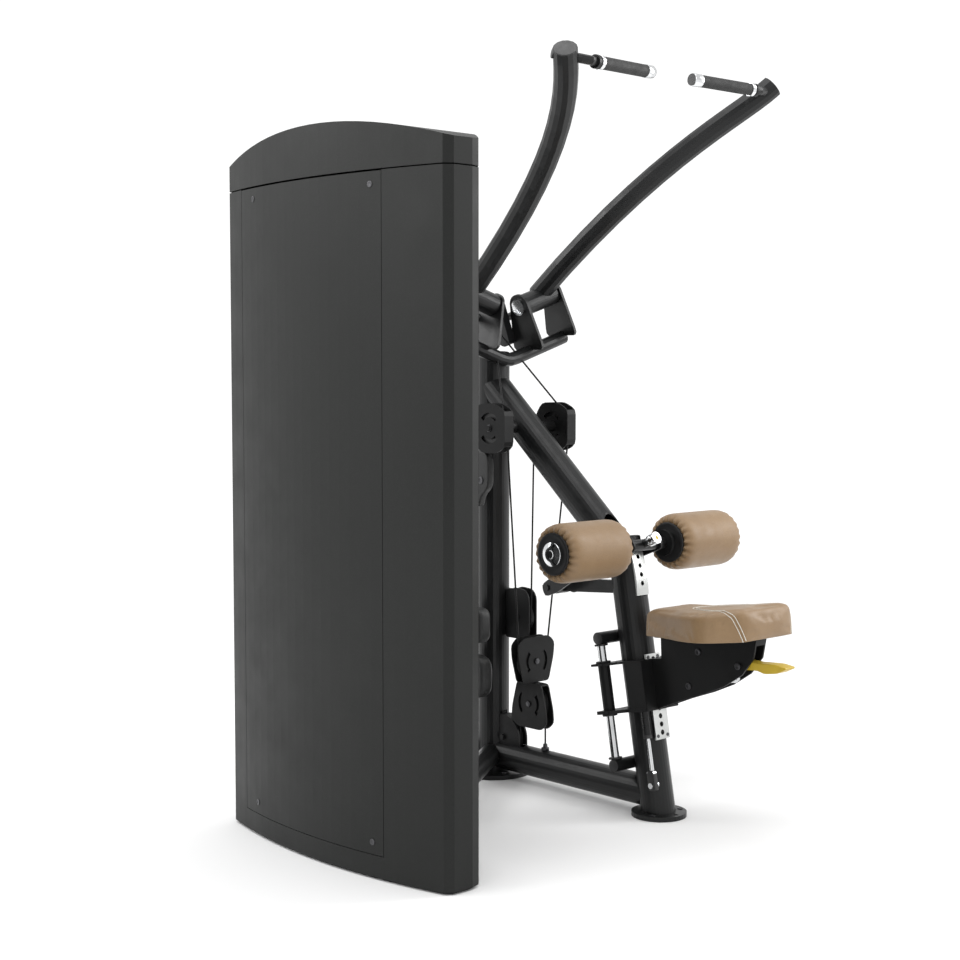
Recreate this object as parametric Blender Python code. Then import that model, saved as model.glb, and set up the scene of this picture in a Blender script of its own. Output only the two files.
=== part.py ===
"""Selectorised lat pulldown machine: a weight tower, a leaning seat post and two swinging arms.

Metres, +Z up. The origin is on the floor at the main upright's axis.
+Y is the way the user faces and +X is the user's right; the weight tower stands at -X.
"""
import math

import bmesh
import bpy
from mathutils import Matrix, Vector

for old in list(bpy.data.objects):
    bpy.data.objects.remove(old, do_unlink=True)

# ---------------------------------------------------------------- driving dimensions
GAP = 0.0003
TUBE_R = 0.0445
WALL = 0.003
UPRIGHT_TOP = 1.195
FOOT_R = 0.105
FOOT_T = 0.012

SEAT_POST_Y = -0.629
SEAT_POST_LEAN = math.radians(10.4)
SEAT_POST_LENGTH = 0.722
SEAT_FOOT_R = 0.0715

FLOOR_TUBE_Z = 0.057
FLOOR_TUBE_R = 0.0405
BRACE_SLOPE = math.radians(41.5)
BRACE_Y, BRACE_Z = -0.250, 0.884

PIVOT_TILT = math.radians(18)
PIVOT = Vector((0.143, -0.055, 1.355))
HUB_R = 0.031
HUB_HALF = 0.092
HUB_OUT = 0.030
PLATE_T = 0.008
BOLT_R = 0.008
WING_R = 0.019
WING_DROP = 0.131
ARM_R = 0.030

PULLEY_R = 0.054
GROOVE_R = 0.047
PULLEY_W = 0.019
CABLE_R = 0.0025
SMALL_R = 0.040
CABLE_RUN_R = GROOVE_R + CABLE_R + 0.001
SMALL_RUN_R = SMALL_R + 0.001
BLOCK_Y = -0.160
BLOCK_UPPER_Z = 0.342
BLOCK_LOWER_Z = 0.222
DIVERTER = Vector((0.120, -0.128, 0.990))
BASE_PULLEY = Vector((0.0, -0.058, 0.113))

PAD_PIVOT = Vector((0.0, -0.270, 0.561))
PAD_ANGLE = math.radians(24.7)
PAD_REACH = 0.3235
PAD_R = 0.075
PAD_IN, PAD_OUT = 0.101, 0.324
ARC_R = 0.296
HOLE_STEP = math.radians(4.45)

SEAT_ROD_X = 0.066
SEAT_ROD_V = -0.065
SEAT_HOLE_STEP = 0.021
CARRIAGE_LOW, CARRIAGE_HIGH = 0.2733, 0.4043

TOWER_Y = -0.3475
TOWER_HALF = 0.4175
TOWER_OUT = -0.898
TOWER_CORNER = -0.844
TOWER_IN = -0.604
SHELL_T = 0.004
SEAM_Z = 1.587
CAP_CORNER_Z = 1.646
CAP_PEAK_Z = 1.706
STACK_X = -0.785
STACK_SIZE = (0.105, 0.300)
PLATE_PITCH = 0.028
PLATES_LIFTED, PLATES_RESTING = 5, 13
STACK_FOOT = 0.110

X = Vector((1, 0, 0))
Y = Vector((0, 1, 0))
Z = Vector((0, 0, 1))

# ---------------------------------------------------------------- collections and materials
parts = bpy.data.collections.new("lat_pulldown_machine")
cutters = bpy.data.collections.new("cutters")
bpy.context.scene.collection.children.link(parts)
bpy.context.scene.collection.children.link(cutters)


def material(name, colour, metallic=0.0, roughness=0.5):
    made = bpy.data.materials.new(name)
    made.use_nodes = True
    shader = made.node_tree.nodes["Principled BSDF"]
    shader.inputs["Base Color"].default_value = (*colour, 1.0)
    shader.inputs["Metallic"].default_value = metallic
    shader.inputs["Roughness"].default_value = roughness
    return made


BLACK = ((0.035, 0.036, 0.038), 0.3, 0.45)
TOWER_GREY = ((0.045, 0.046, 0.048), 0.2, 0.5)
CHROME = ((0.80, 0.80, 0.80), 1.0, 0.15)
ZINC = ((0.62, 0.62, 0.60), 1.0, 0.35)
NYLON = ((0.02, 0.02, 0.02), 0.0, 0.4)
RUBBER = ((0.015, 0.015, 0.015), 0.0, 0.75)
LEATHER = ((0.36, 0.22, 0.11), 0.0, 0.5)
YELLOW = ((0.60, 0.42, 0.02), 0.0, 0.4)


# ---------------------------------------------------------------- building helpers
def add(name, mesh, finish=BLACK, smooth=True, cutter=False):
    """Link a mesh as a named piece with its own material, or as a hidden tool body."""
    made = bpy.data.objects.new(name, mesh)
    if cutter:
        cutters.objects.link(made)
        made.hide_render = True
        made.display_type = "WIRE"
    else:
        parts.objects.link(made)
        mesh.materials.append(material(name + "_finish", *finish))
    if smooth:
        mesh.shade_smooth()
        mesh.set_sharp_from_angle(angle=math.radians(35))
    return made


def frame(base, normal, up):
    """Placement whose local Z is normal and local Y is up."""
    normal = Vector(normal).normalized()
    side = Vector(up).cross(normal).normalized()
    true_up = normal.cross(side)
    turn = Matrix((side, true_up, normal)).transposed().to_4x4()
    return Matrix.Translation(base) @ turn


def circle(radius, count=24, cx=0.0, cy=0.0):
    return [(cx + radius * math.cos(math.tau * i / count),
             cy + radius * math.sin(math.tau * i / count)) for i in range(count)]


def arc(radius, start, end, count, cx=0.0, cy=0.0):
    """Points on an arc, angles in degrees."""
    angles = [math.radians(start + (end - start) * i / count) for i in range(count + 1)]
    return [(cx + radius * math.cos(a), cy + radius * math.sin(a)) for a in angles]


def rounded(points, radius, steps=4):
    """Round every corner of a closed outline."""
    out = []
    count = len(points)
    for i in range(count):
        here = Vector(points[i])
        before = (Vector(points[i - 1]) - here)
        after = (Vector(points[(i + 1) % count]) - here)
        reach = min(radius, before.length * 0.45, after.length * 0.45)
        a = here + before.normalized() * reach
        b = here + after.normalized() * reach
        for k in range(steps + 1):
            t = k / steps
            out.append(tuple(a * (1 - t) ** 2 + here * 2 * t * (1 - t) + b * t ** 2))
    return out


def rectangle(x0, y0, x1, y1):
    return [(x0, y0), (x1, y0), (x1, y1), (x0, y1)]


def extrude(name, outline, base, normal, up, depth, holes=(), **kinds):
    """A closed solid: an outline with holes, pushed along normal from base."""
    shape = bmesh.new()
    edges = []
    for loop in [outline, *holes]:
        corners = [shape.verts.new((x, y, 0.0)) for x, y in loop]
        edges += [shape.edges.new((corners[i - 1], corners[i])) for i in range(len(corners))]
    bmesh.ops.triangle_fill(shape, edges=edges, use_beauty=True)
    pushed = bmesh.ops.extrude_face_region(shape, geom=list(shape.faces))
    moved = [item for item in pushed["geom"] if isinstance(item, bmesh.types.BMVert)]
    bmesh.ops.translate(shape, verts=moved, vec=(0, 0, depth))
    bmesh.ops.recalc_face_normals(shape, faces=list(shape.faces))
    mesh = bpy.data.meshes.new(name)
    shape.to_mesh(mesh)
    shape.free()
    made = add(name, mesh, **kinds)
    made.matrix_world = frame(base, normal, up)
    return made


def bar(name, start, end, radius, bore=0.0, count=24, **kinds):
    """A round bar or tube between two points."""
    start = Vector(start)
    along = Vector(end) - start
    up = Y if abs(along.normalized().dot(Y)) < 0.9 else Z
    holes = [circle(bore, count)] if bore else []
    return extrude(name, circle(radius, count), start, along, up, along.length, holes, **kinds)


def box(name, low, high, **kinds):
    low, high = Vector(low), Vector(high)
    outline = rectangle(low.x, low.y, high.x, high.y)
    return extrude(name, outline, (0, 0, low.z), Z, Y, high.z - low.z, smooth=False, **kinds)


def turned(name, profile, base, axis, count=24, **kinds):
    """A closed (radius, height) profile spun about an axis."""
    shape = bmesh.new()
    ring = [shape.verts.new((r, 0.0, h)) for r, h in profile]
    edges = [shape.edges.new((ring[i - 1], ring[i])) for i in range(len(ring))]
    bmesh.ops.spin(shape, geom=ring + edges, cent=(0, 0, 0), axis=(0, 0, 1),
                   angle=math.tau, steps=count)
    bmesh.ops.remove_doubles(shape, verts=list(shape.verts), dist=1e-6)
    bmesh.ops.recalc_face_normals(shape, faces=list(shape.faces))
    mesh = bpy.data.meshes.new(name)
    shape.to_mesh(mesh)
    shape.free()
    made = add(name, mesh, **kinds)
    up = Y if abs(Vector(axis).normalized().dot(Y)) < 0.9 else Z
    made.matrix_world = frame(base, axis, up)
    return made


def sweep(name, points, radius, resolution=4, bezier=None, steps=14, **kinds):
    """A round rod along a path: a list of points, or one cubic with two handles."""
    path = bpy.data.curves.new(name + "_path", "CURVE")
    path.dimensions = "3D"
    path.bevel_depth = radius
    path.bevel_resolution = resolution
    path.use_fill_caps = True
    if bezier:
        spline = path.splines.new("BEZIER")
        spline.bezier_points.add(1)
        first, last = spline.bezier_points
        first.co, first.handle_right, last.handle_left, last.co = bezier
        first.handle_left = 2 * first.co - first.handle_right
        last.handle_right = 2 * last.co - last.handle_left
        path.resolution_u = steps
    else:
        spline = path.splines.new("POLY")
        spline.points.add(len(points) - 1)
        for knot, place in zip(spline.points, points):
            knot.co = (*place, 1.0)
    holder = bpy.data.objects.new(name + "_holder", path)
    bpy.context.scene.collection.objects.link(holder)
    graph = bpy.context.evaluated_depsgraph_get()
    mesh = bpy.data.meshes.new_from_object(holder.evaluated_get(graph))
    bpy.data.objects.remove(holder, do_unlink=True)
    shape = bmesh.new()
    shape.from_mesh(mesh)
    bmesh.ops.remove_doubles(shape, verts=list(shape.verts), dist=1e-6)
    bmesh.ops.recalc_face_normals(shape, faces=list(shape.faces))
    shape.to_mesh(mesh)
    shape.free()
    mesh.name = name
    return add(name, mesh, **kinds)


def combine(target, tool, how):
    step = target.modifiers.new(how.lower() + "_" + tool.name, "BOOLEAN")
    step.solver = "EXACT"
    step.operation = how
    step.object = tool
    return target


def join(target, *tools):
    for tool in tools:
        combine(target, tool, "UNION")
    return target


def cut(target, *tools):
    for tool in tools:
        combine(target, tool, "DIFFERENCE")
    return target


def pulley(name, centre, axis, finish=NYLON):
    """A grooved wheel with a bore that clears its axle."""
    half = PULLEY_W / 2
    profile = [(BOLT_R + GAP, -half), (PULLEY_R, -half), (PULLEY_R, -half + 0.003),
               (GROOVE_R, -0.0020), (GROOVE_R, 0.0020), (PULLEY_R, half - 0.003),
               (PULLEY_R, half), (BOLT_R + GAP, half)]
    return turned(name, profile, centre, axis, finish=finish)


# ---------------------------------------------------------------- main frame
post_up = Vector((0, math.sin(SEAT_POST_LEAN), math.cos(SEAT_POST_LEAN)))
post_back = Vector((0, -math.cos(SEAT_POST_LEAN), math.sin(SEAT_POST_LEAN)))
post_foot = Vector((0, SEAT_POST_Y, 0))


def on_post(x, v, w):
    """A point in the seat post's own frame: across, behind and along."""
    return post_foot + X * x + post_back * v + post_up * w


brace_dir = Vector((0, -math.cos(BRACE_SLOPE), -math.sin(BRACE_SLOPE)))
brace_mid = Vector((0, BRACE_Y, BRACE_Z))

upright_keepout = bar("upright_keepout", (0, 0, -0.01), (0, 0, UPRIGHT_TOP + 0.05),
                      TUBE_R + GAP, count=32, cutter=True)
post_keepout = bar("post_keepout", on_post(0, 0, -0.05), on_post(0, 0, SEAT_POST_LENGTH + 0.1),
                   TUBE_R + GAP, count=32, cutter=True)

slot_through = box("upright_slot", (-0.0125, -0.08, 0.030), (0.0125, 0.08, 0.185), cutter=True)
main_upright = bar("main_upright", (0, 0, FOOT_T - 0.002), (0, 0, UPRIGHT_TOP),
                   TUBE_R, TUBE_R - WALL, count=32)
main_foot = bar("main_foot_disc", (0, 0, 0), (0, 0, FOOT_T), FOOT_R, count=36, cutter=True)
join(main_upright, main_foot)
cut(main_upright, slot_through)

diagonal_brace = bar("diagonal_brace", brace_mid - brace_dir * 0.42, brace_mid + brace_dir * 0.36,
                     TUBE_R, TUBE_R - WALL, count=32)
cut(diagonal_brace, upright_keepout, post_keepout)
brace_trim = box("brace_trim", (-0.1, -0.005, 0.9), (0.1, 0.4, 1.5), cutter=True)
cut(diagonal_brace, brace_trim)
brace_end_trim = box("brace_end_trim", (-0.1, -0.9, 0.4), (0.1, -0.497, 0.9), cutter=True)
cut(diagonal_brace, brace_end_trim)

seat_post = bar("seat_post", on_post(0, 0, 0.004), on_post(0, 0, SEAT_POST_LENGTH),
                TUBE_R, TUBE_R - WALL, count=32)
seat_foot = bar("seat_foot_disc", (0, SEAT_POST_Y, 0), (0, SEAT_POST_Y, FOOT_T),
                SEAT_FOOT_R, count=32, cutter=True)
seat_foot_trim = box("seat_foot_trim", (-0.1, -0.8, -0.05), (0.1, -0.4, 0.0), cutter=True)
join(seat_post, seat_foot)
cut(seat_post, seat_foot_trim)
for label, w in (("upper", 0.470), ("lower", 0.140)):
    crossbar = bar("seat_crossbar_" + label, on_post(-0.084, -0.058, w), on_post(0.084, -0.058, w),
                   0.016, count=24, cutter=True)
    join(seat_post, crossbar)
foot_bolt_hole = bar("foot_bolt_hole", (0.0, SEAT_POST_Y - 0.059, -0.01),
                     (0.0, SEAT_POST_Y - 0.059, 0.05), 0.006, count=16, cutter=True)
cut(seat_post, foot_bolt_hole)

floor_tube = bar("floor_tube", (0, 0, FLOOR_TUBE_Z), (0, SEAT_POST_Y, FLOOR_TUBE_Z),
                 FLOOR_TUBE_R, FLOOR_TUBE_R - WALL, count=32)
pulley_slot = box("pulley_slot", (-0.0125, -0.135, 0.05), (0.0125, 0.0, 0.12), cutter=True)
cut(floor_tube, upright_keepout, post_keepout, pulley_slot)

# ---------------------------------------------------------------- pivot bracket and arms
pivot_axis = {1: Vector((math.cos(PIVOT_TILT), 0, math.sin(PIVOT_TILT))),
              -1: Vector((math.cos(PIVOT_TILT), 0, -math.sin(PIVOT_TILT)))}


def mirrored(place, side):
    return Vector((place[0] * side, place[1], place[2]))


def outward(side):
    """Unit vector along the pivot, pointing away from the middle."""
    return pivot_axis[side] * side


def pivot_point(side, along, down=0.0, forward=0.0):
    """A point in a pivot's own frame: along it, below it and toward the user's front."""
    below = Vector((math.sin(PIVOT_TILT) * side, 0, -math.cos(PIVOT_TILT)))
    return mirrored(PIVOT, side) + outward(side) * along + below * down + Y * forward


wing_low = pivot_point(1, -PIVOT.x / math.cos(PIVOT_TILT), WING_DROP)
wing_middle = Vector((0.0, PIVOT.y, wing_low.z - math.tan(PIVOT_TILT) * wing_low.x))
wing_ends = {side: pivot_point(side, HUB_OUT + 0.010, WING_DROP) for side in (-1, 1)}
bend = [wing_middle.lerp(wing_ends[side], 0.16) for side in (-1, 1)]
elbow = [bend[0].lerp(wing_middle, 0.55).lerp(bend[1], 0.10),
         bend[1].lerp(wing_middle, 0.55).lerp(bend[0], 0.10)]
pivot_bracket = sweep("pivot_bracket", [wing_ends[-1], bend[0], *elbow, bend[1], wing_ends[1]],
                      WING_R, resolution=5)
plate_outline = rounded([(-0.058, -WING_DROP - 0.014), (0.058, -WING_DROP - 0.014),
                         (0.056, -WING_DROP + 0.02)], 0.006, 2)
plate_outline = ([(-0.056, -WING_DROP + 0.028), (-0.057, -WING_DROP + 0.014),
                  (-0.051, -WING_DROP + 0.006), (0.051, -WING_DROP + 0.006),
                  (0.057, -WING_DROP + 0.014), (0.056, -WING_DROP + 0.028)]
                 + arc(0.036, 18, 162, 12))
for side in (-1, 1):
    tag = "right" if side > 0 else "left"
    for along, where in ((-HUB_HALF - 0.003 - PLATE_T, "inner"), (HUB_OUT + 0.003, "outer")):
        start = pivot_point(side, along)
        up = -(pivot_point(side, 0, 1.0) - pivot_point(side, 0, 0.0))
        plate = extrude("pivot_plate_{}_{}".format(where, tag), plate_outline, start,
                        outward(side), up, PLATE_T, [circle(BOLT_R + GAP, 20)], cutter=True)
        join(pivot_bracket, plate)
cut(pivot_bracket, upright_keepout)

for side in (-1, 1):
    tag = "right" if side > 0 else "left"
    out = outward(side)
    middle = mirrored(PIVOT, side)
    bolt = bar("pivot_bolt_" + tag, pivot_point(side, -HUB_HALF - 0.016),
               pivot_point(side, HUB_OUT + 0.016), BOLT_R - GAP, count=20, finish=CHROME)
    for along, where in ((-HUB_HALF - 0.0165, "in"), (HUB_OUT + 0.0113, "out")):
        head = bar("bolt_head_{}_{}".format(where, tag), pivot_point(side, along),
                   pivot_point(side, along + 0.005), 0.023, count=28, cutter=True)
        join(bolt, head)

    hub = bar("pivot_hub_" + tag, pivot_point(side, -HUB_HALF), pivot_point(side, HUB_OUT),
              HUB_R, BOLT_R + GAP, count=32)
    arm_path = [mirrored(p, side) for p in ((0.129, -0.046, 1.361), (0.156, -0.466, 1.718),
                                            (0.326, -0.609, 1.820), (0.390, -0.665, 1.898))]
    arm = sweep("arm_tube_" + tag, None, ARM_R, resolution=5, bezier=arm_path, steps=13)
    hub_keepout = bar("hub_keepout_" + tag, pivot_point(side, -HUB_HALF - 0.02),
                      pivot_point(side, HUB_OUT + 0.02), HUB_R + GAP, count=32, cutter=True)
    cut(arm, hub_keepout)

    neck = [mirrored(p, side) for p in ((0.376, -0.652, 1.884), (0.344, -0.672, 1.879),
                                        (0.318, -0.6795, 1.8765), (0.290, -0.6765, 1.8765),
                                        (0.078, -0.654, 1.881))]
    grip_dir = (neck[4] - neck[3]).normalized()
    handle = sweep("handle_bar_" + tag, neck, 0.0115, resolution=3, finish=CHROME)
    cap = bar("handle_cap_" + tag, neck[4] - grip_dir * 0.028, neck[4] + grip_dir * 0.003,
              0.0150, count=24, cutter=True)
    collar = bar("handle_collar_" + tag, neck[3] + grip_dir * -0.014, neck[3] + grip_dir * -0.006,
                 0.0168, count=24, cutter=True)
    join(handle, cap, collar)
    arm_end = sweep("arm_keepout_" + tag, None, ARM_R + GAP, resolution=5, bezier=arm_path,
                    steps=13, cutter=True)
    cut(handle, arm_end)
    bar("grip_" + tag, neck[3] - grip_dir * 0.0055, neck[4] - grip_dir * 0.0285, 0.0155,
        0.0115 + GAP, count=24, finish=RUBBER)


    # a crank behind the hub carries the D-shaped cable horn past the inner plate
    up = -(pivot_point(side, 0, 1.0) - pivot_point(side, 0, 0.0))
    sign = 1 if Vector(up).cross(out).dot(Y) > 0 else -1
    horn = rounded([(sign * x, y) for x, y in
                    [(0.048, 0.020), (0.070, 0.012), (0.092, -0.020), (0.100, -0.060),
                     (0.090, -0.096), (0.066, -0.108), (0.040, -0.100)]], 0.010, 3)
    cam = extrude("cable_horn_" + tag, horn, pivot_point(side, -HUB_HALF - 0.040), out, up, 0.024)
    stem = bar("horn_stem_" + tag, pivot_point(side, -HUB_HALF - 0.020, 0.03, 0.063),
               pivot_point(side, 0.012, 0.03, 0.063), 0.011, count=20, cutter=True)
    crank = extrude("horn_crank_" + tag,
                    [(sign * x, y) for x, y in [(0.0, 0.020), (0.0, -0.024), (0.070, -0.041),
                                                (0.070, -0.019)]],
                    pivot_point(side, -0.006), out, up, 0.018, cutter=True)
    join(cam, stem, crank)
    cut(cam, hub_keepout)

# ---------------------------------------------------------------- diverter pulleys
for side in (-1, 1):
    tag = "right" if side > 0 else "left"
    centre = mirrored(DIVERTER, side)
    pulley("diverter_pulley_" + tag, centre, X)
    face = rounded([(-0.062, -0.050), (-0.030, -0.068), (0.030, -0.068), (0.060, -0.040),
                    (0.066, 0.030), (0.040, 0.066), (-0.020, 0.068), (-0.062, 0.048)], 0.014, 2)
    housing = extrude("diverter_housing_" + tag, face, centre - X * 0.0165, X, Z, 0.033,
                      smooth=False)
    inside = extrude("diverter_inside_" + tag,
                     rounded([(-0.057, -0.100), (0.059, -0.100), (0.059, 0.058), (0.059, 0.100),
                              (-0.057, 0.100)], 0.004, 2),
                     centre - X * 0.0125, X, Z, 0.025, cutter=True)
    axle = bar("diverter_axle_" + tag, centre - X * 0.022, centre + X * 0.022, BOLT_R,
               count=20, cutter=True)
    reach = bar("diverter_arm_" + tag, centre - X * side * 0.015,
                Vector((0.02 * side, DIVERTER.y - 0.004, DIVERTER.z)), 0.016, count=20,
                cutter=True)
    cut(housing, inside)
    for turn in (90, -90):
        slot = (arc(0.042, turn - 50, turn + 50, 8) + arc(0.030, turn + 50, turn - 50, 8))
        window = extrude("diverter_slot_{}_{}".format(tag, turn), slot, centre - X * 0.03, X, Z,
                         0.06, cutter=True)
        cut(housing, window)
    join(housing, axle)
    inner_face = extrude("diverter_boss_" + tag, circle(0.016, 20),
                         centre - X * side * 0.0160, -X * side, Z, 0.110, cutter=True)
    join(housing, inner_face)
brace_keepout = bar("brace_keepout", brace_mid - brace_dir * 0.5, brace_mid + brace_dir * 0.5,
                    TUBE_R + GAP, count=32, cutter=True)
for side in (-1, 1):
    tag = "right" if side > 0 else "left"
    far_trim = box("diverter_trim_" + tag, (-0.2, -0.3, 0.85), (0.0, 0.1, 1.1), cutter=True)
    if side < 0:
        far_trim.matrix_world = Matrix.Translation((0.2, 0, 0)) @ far_trim.matrix_world
    cut(parts.objects["diverter_housing_" + tag], brace_keepout, upright_keepout, far_trim)

# ---------------------------------------------------------------- floating pulley block
def block_half(name, centre, axis, flip, closed):
    """A pulley housing: slotted cheeks, open where the cable enters, with its axle."""
    outline = rounded([(-0.070, 0.048 * flip), (-0.048, 0.068 * flip), (0.048, 0.068 * flip),
                       (0.070, 0.048 * flip), (0.067, 0.012 * flip), (0.048, closed * -flip),
                       (-0.048, closed * -flip), (-0.067, 0.012 * flip)], 0.010, 2)
    base = Vector(centre) - axis * 0.0150
    made = extrude(name, outline, base, axis, Z, 0.030, smooth=False)
    inner = extrude(name + "_inside", rectangle(-0.08, -0.0545 * flip, 0.08, 0.09 * flip),
                    Vector(centre) - axis * 0.0110, axis, Z, 0.022, cutter=True)
    cut(made, inner)
    for turn in (0, 180):
        slot = arc(0.042, turn - 44, turn + 44, 8) + arc(0.031, turn + 44, turn - 44, 8)
        window = extrude("{}_slot_{}".format(name, turn), slot, Vector(centre) - axis * 0.03, axis,
                         Z, 0.06, cutter=True)
        cut(made, window)
    pin = bar(name + "_axle", Vector(centre) - axis * 0.0175, Vector(centre) + axis * 0.0175,
              BOLT_R, count=20, cutter=True)
    return join(made, pin)


BLOCK_CLOSED = 0.0590
upper_centre = Vector((0, BLOCK_Y, BLOCK_UPPER_Z))
lower_centre = Vector((0, BLOCK_Y, BLOCK_LOWER_Z))
block_upper = block_half("block_upper_housing", upper_centre, Y, 1, BLOCK_CLOSED)
block_lower = block_half("block_lower_housing", lower_centre, X, -1, BLOCK_CLOSED)
link_pin = bar("block_link_pin", (0, BLOCK_Y, BLOCK_LOWER_Z + 0.0560),
               (0, BLOCK_Y, BLOCK_UPPER_Z - 0.0560), 0.010, count=20, cutter=True)
link_hole = bar("block_link_hole", (0, BLOCK_Y, BLOCK_LOWER_Z + 0.050),
                (0, BLOCK_Y, BLOCK_UPPER_Z - 0.050), 0.010 + GAP, count=20, cutter=True)
join(block_upper, link_pin)
cut(block_lower, link_hole)
pulley("block_upper_pulley", upper_centre, Y)
pulley("block_lower_pulley", lower_centre, X)

# ---------------------------------------------------------------- base pulley and guide pulley
pulley("base_pulley", BASE_PULLEY, X)
base_face = arc(0.064, 0, 180, 20) + [(-0.064, -0.06), (0.064, -0.06)]
base_bracket = extrude("base_pulley_bracket", base_face, BASE_PULLEY - X * 0.0165, X, Z, 0.033,
                       smooth=False)
base_inside = extrude("base_bracket_inside", arc(0.0590, 0, 120, 14)
                      + [(-0.1, 0.0511), (-0.1, -0.1), (0.0590, -0.1)],
                      BASE_PULLEY - X * 0.0115, X, Z, 0.023, cutter=True)
base_axle = bar("base_bracket_axle", BASE_PULLEY - X * 0.024, BASE_PULLEY + X * 0.024, BOLT_R,
                count=20, cutter=True)
floor_keepout = bar("floor_keepout", (0, 0.2, FLOOR_TUBE_Z), (0, -0.7, FLOOR_TUBE_Z),
                    FLOOR_TUBE_R + GAP, count=36, cutter=True)
cut(base_bracket, base_inside)
join(base_bracket, base_axle)
cut(base_bracket, floor_keepout, upright_keepout)

guide_centre = Vector((0.018, -0.0930, 0.455))
half = PULLEY_W / 2
small_profile = [(BOLT_R + GAP, -half), (SMALL_R + 0.004, -half), (SMALL_R - 0.0025, -0.0015),
                 (SMALL_R - 0.0025, 0.0015), (SMALL_R + 0.004, half), (BOLT_R + GAP, half)]
turned("guide_pulley", small_profile, guide_centre, X, finish=NYLON)
guide_face = rounded([(-0.046, -0.060), (0.0484, -0.060), (0.0484, 0.060), (0.034, 0.080),
                      (-0.010, 0.084), (-0.046, 0.070)], 0.010, 2)
guide = extrude("guide_pulley_bracket", [(-x, y) for x, y in guide_face],
                guide_centre - X * 0.0155, X, Z, 0.031, smooth=False)
guide_inside = extrude("guide_bracket_inside", rectangle(-0.090, -0.2, 0.0475, 0.2),
                       guide_centre - X * 0.0115, X, Z, 0.023, cutter=True)
guide_axle = bar("guide_bracket_axle", guide_centre - X * 0.020, guide_centre + X * 0.020,
                 BOLT_R, count=20, cutter=True)
guide_back = box("guide_bracket_back", (0.0040, -0.0480, 0.40), (0.0325, -0.030, 0.53),
                 cutter=True)
cut(guide, guide_inside)
join(guide, guide_back, guide_axle)
cut(guide, upright_keepout)

# ---------------------------------------------------------------- weight tower
def tower_plan(inset=0.0):
    """Outer half of the tower's plan, from the rear inner edge round to the front inner edge."""
    half = TOWER_HALF - inset
    bulge = TOWER_CORNER - TOWER_OUT
    chord = TOWER_HALF - 0.015
    radius = (chord ** 2 + bulge ** 2) / (2 * bulge)
    span = math.degrees(math.asin((chord - inset * 0.6) / radius))
    bow = arc(radius - inset, 180 - span, 180 + span, 24, TOWER_OUT + radius, TOWER_Y)
    corner = TOWER_CORNER + 0.019 + inset * 0.4
    front = [(-0.747, TOWER_Y + half - 0.008), (-0.772, TOWER_Y + half),
             (corner, TOWER_Y + half)]
    rear = [(x, 2 * TOWER_Y - y) for x, y in reversed(front)]
    return front + bow + rear


def inner_plan(inset=0.0):
    half = TOWER_HALF - inset - 0.008
    face = 0.232 - inset * 0.5
    front = [(-0.7465, TOWER_Y + half), (TOWER_IN - inset, TOWER_Y + face)]
    return [(x, 2 * TOWER_Y - y) for x, y in front] + list(reversed(front))


outer_points = tower_plan()
tower_shell = extrude("tower_shell", outer_points + list(reversed(tower_plan(SHELL_T))),
                      (0, 0, 0.006), Z, Y, SEAM_Z - 0.0015 - 0.006)
panel_low, panel_high = -0.585, -0.026
opening = box("panel_opening", (-0.93, panel_low - 0.0015, 0.0555),
              (-0.83, panel_high + 0.0015, 1.7), cutter=True)
cut(tower_shell, opening)
access_panel = extrude("access_panel", outer_points + list(reversed(tower_plan(SHELL_T))),
                       (0, 0, 0.057), Z, Y, SEAM_Z - 0.003 - 0.057)
panel_keep = box("panel_keep", (-0.93, panel_low, 0.0), (-0.83, panel_high, 1.8), cutter=True)
combine(access_panel, panel_keep, "INTERSECT")

inner_wall = inner_plan() + list(reversed(inner_plan(SHELL_T)))
inner_shroud = extrude("inner_shroud", inner_wall, (0, 0, 0.0125), Z, Y, SEAM_Z - 0.014)
shroud_window = box("shroud_window", (-0.64, -0.465, 0.130), (-0.58, -0.365, 1.20), cutter=True)
rope_opening = box("rope_opening", (-0.72, -0.290, 0.0130), (-0.58, -0.140, 0.110), cutter=True)
cut(inner_shroud, shroud_window, rope_opening)

cap_plan = tower_plan() + [(TOWER_IN, TOWER_Y - 0.232), (TOWER_IN, TOWER_Y + 0.232)]
cap_rise = CAP_PEAK_Z - CAP_CORNER_Z
cap_radius = (TOWER_HALF ** 2 + cap_rise ** 2) / (2 * cap_rise)
cap_span = math.degrees(math.asin(TOWER_HALF / cap_radius))


def cap_side(drop, low):
    crown = arc(cap_radius - drop, 90 - cap_span * 1.02, 90 + cap_span * 1.02, 20,
                TOWER_Y, CAP_PEAK_Z - cap_radius)
    return crown + [(TOWER_Y - 0.45, low), (TOWER_Y + 0.45, low)]


tower_cap = extrude("tower_cap", cap_plan, (0, 0, SEAM_Z + 0.0015), Z, Y, 0.15)
cap_arch = extrude("cap_arch", cap_side(0.0, 1.5), (-1.0, 0, 0), X, Z, 0.5, cutter=True)
cap_hollow = extrude("cap_hollow", tower_plan(0.005) + [(TOWER_IN - 0.005, TOWER_Y - 0.229),
                                                      (TOWER_IN - 0.005, TOWER_Y + 0.229)],
                     (0, 0, 1.55), Z, Y, 0.20, cutter=True)
hollow_arch = extrude("hollow_arch", cap_side(0.005, 1.4), (-1.1, 0, 0), X, Z, 0.7, cutter=True)
combine(cap_hollow, hollow_arch, "INTERSECT")
combine(tower_cap, cap_arch, "INTERSECT")
cut(tower_cap, cap_hollow)

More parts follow.
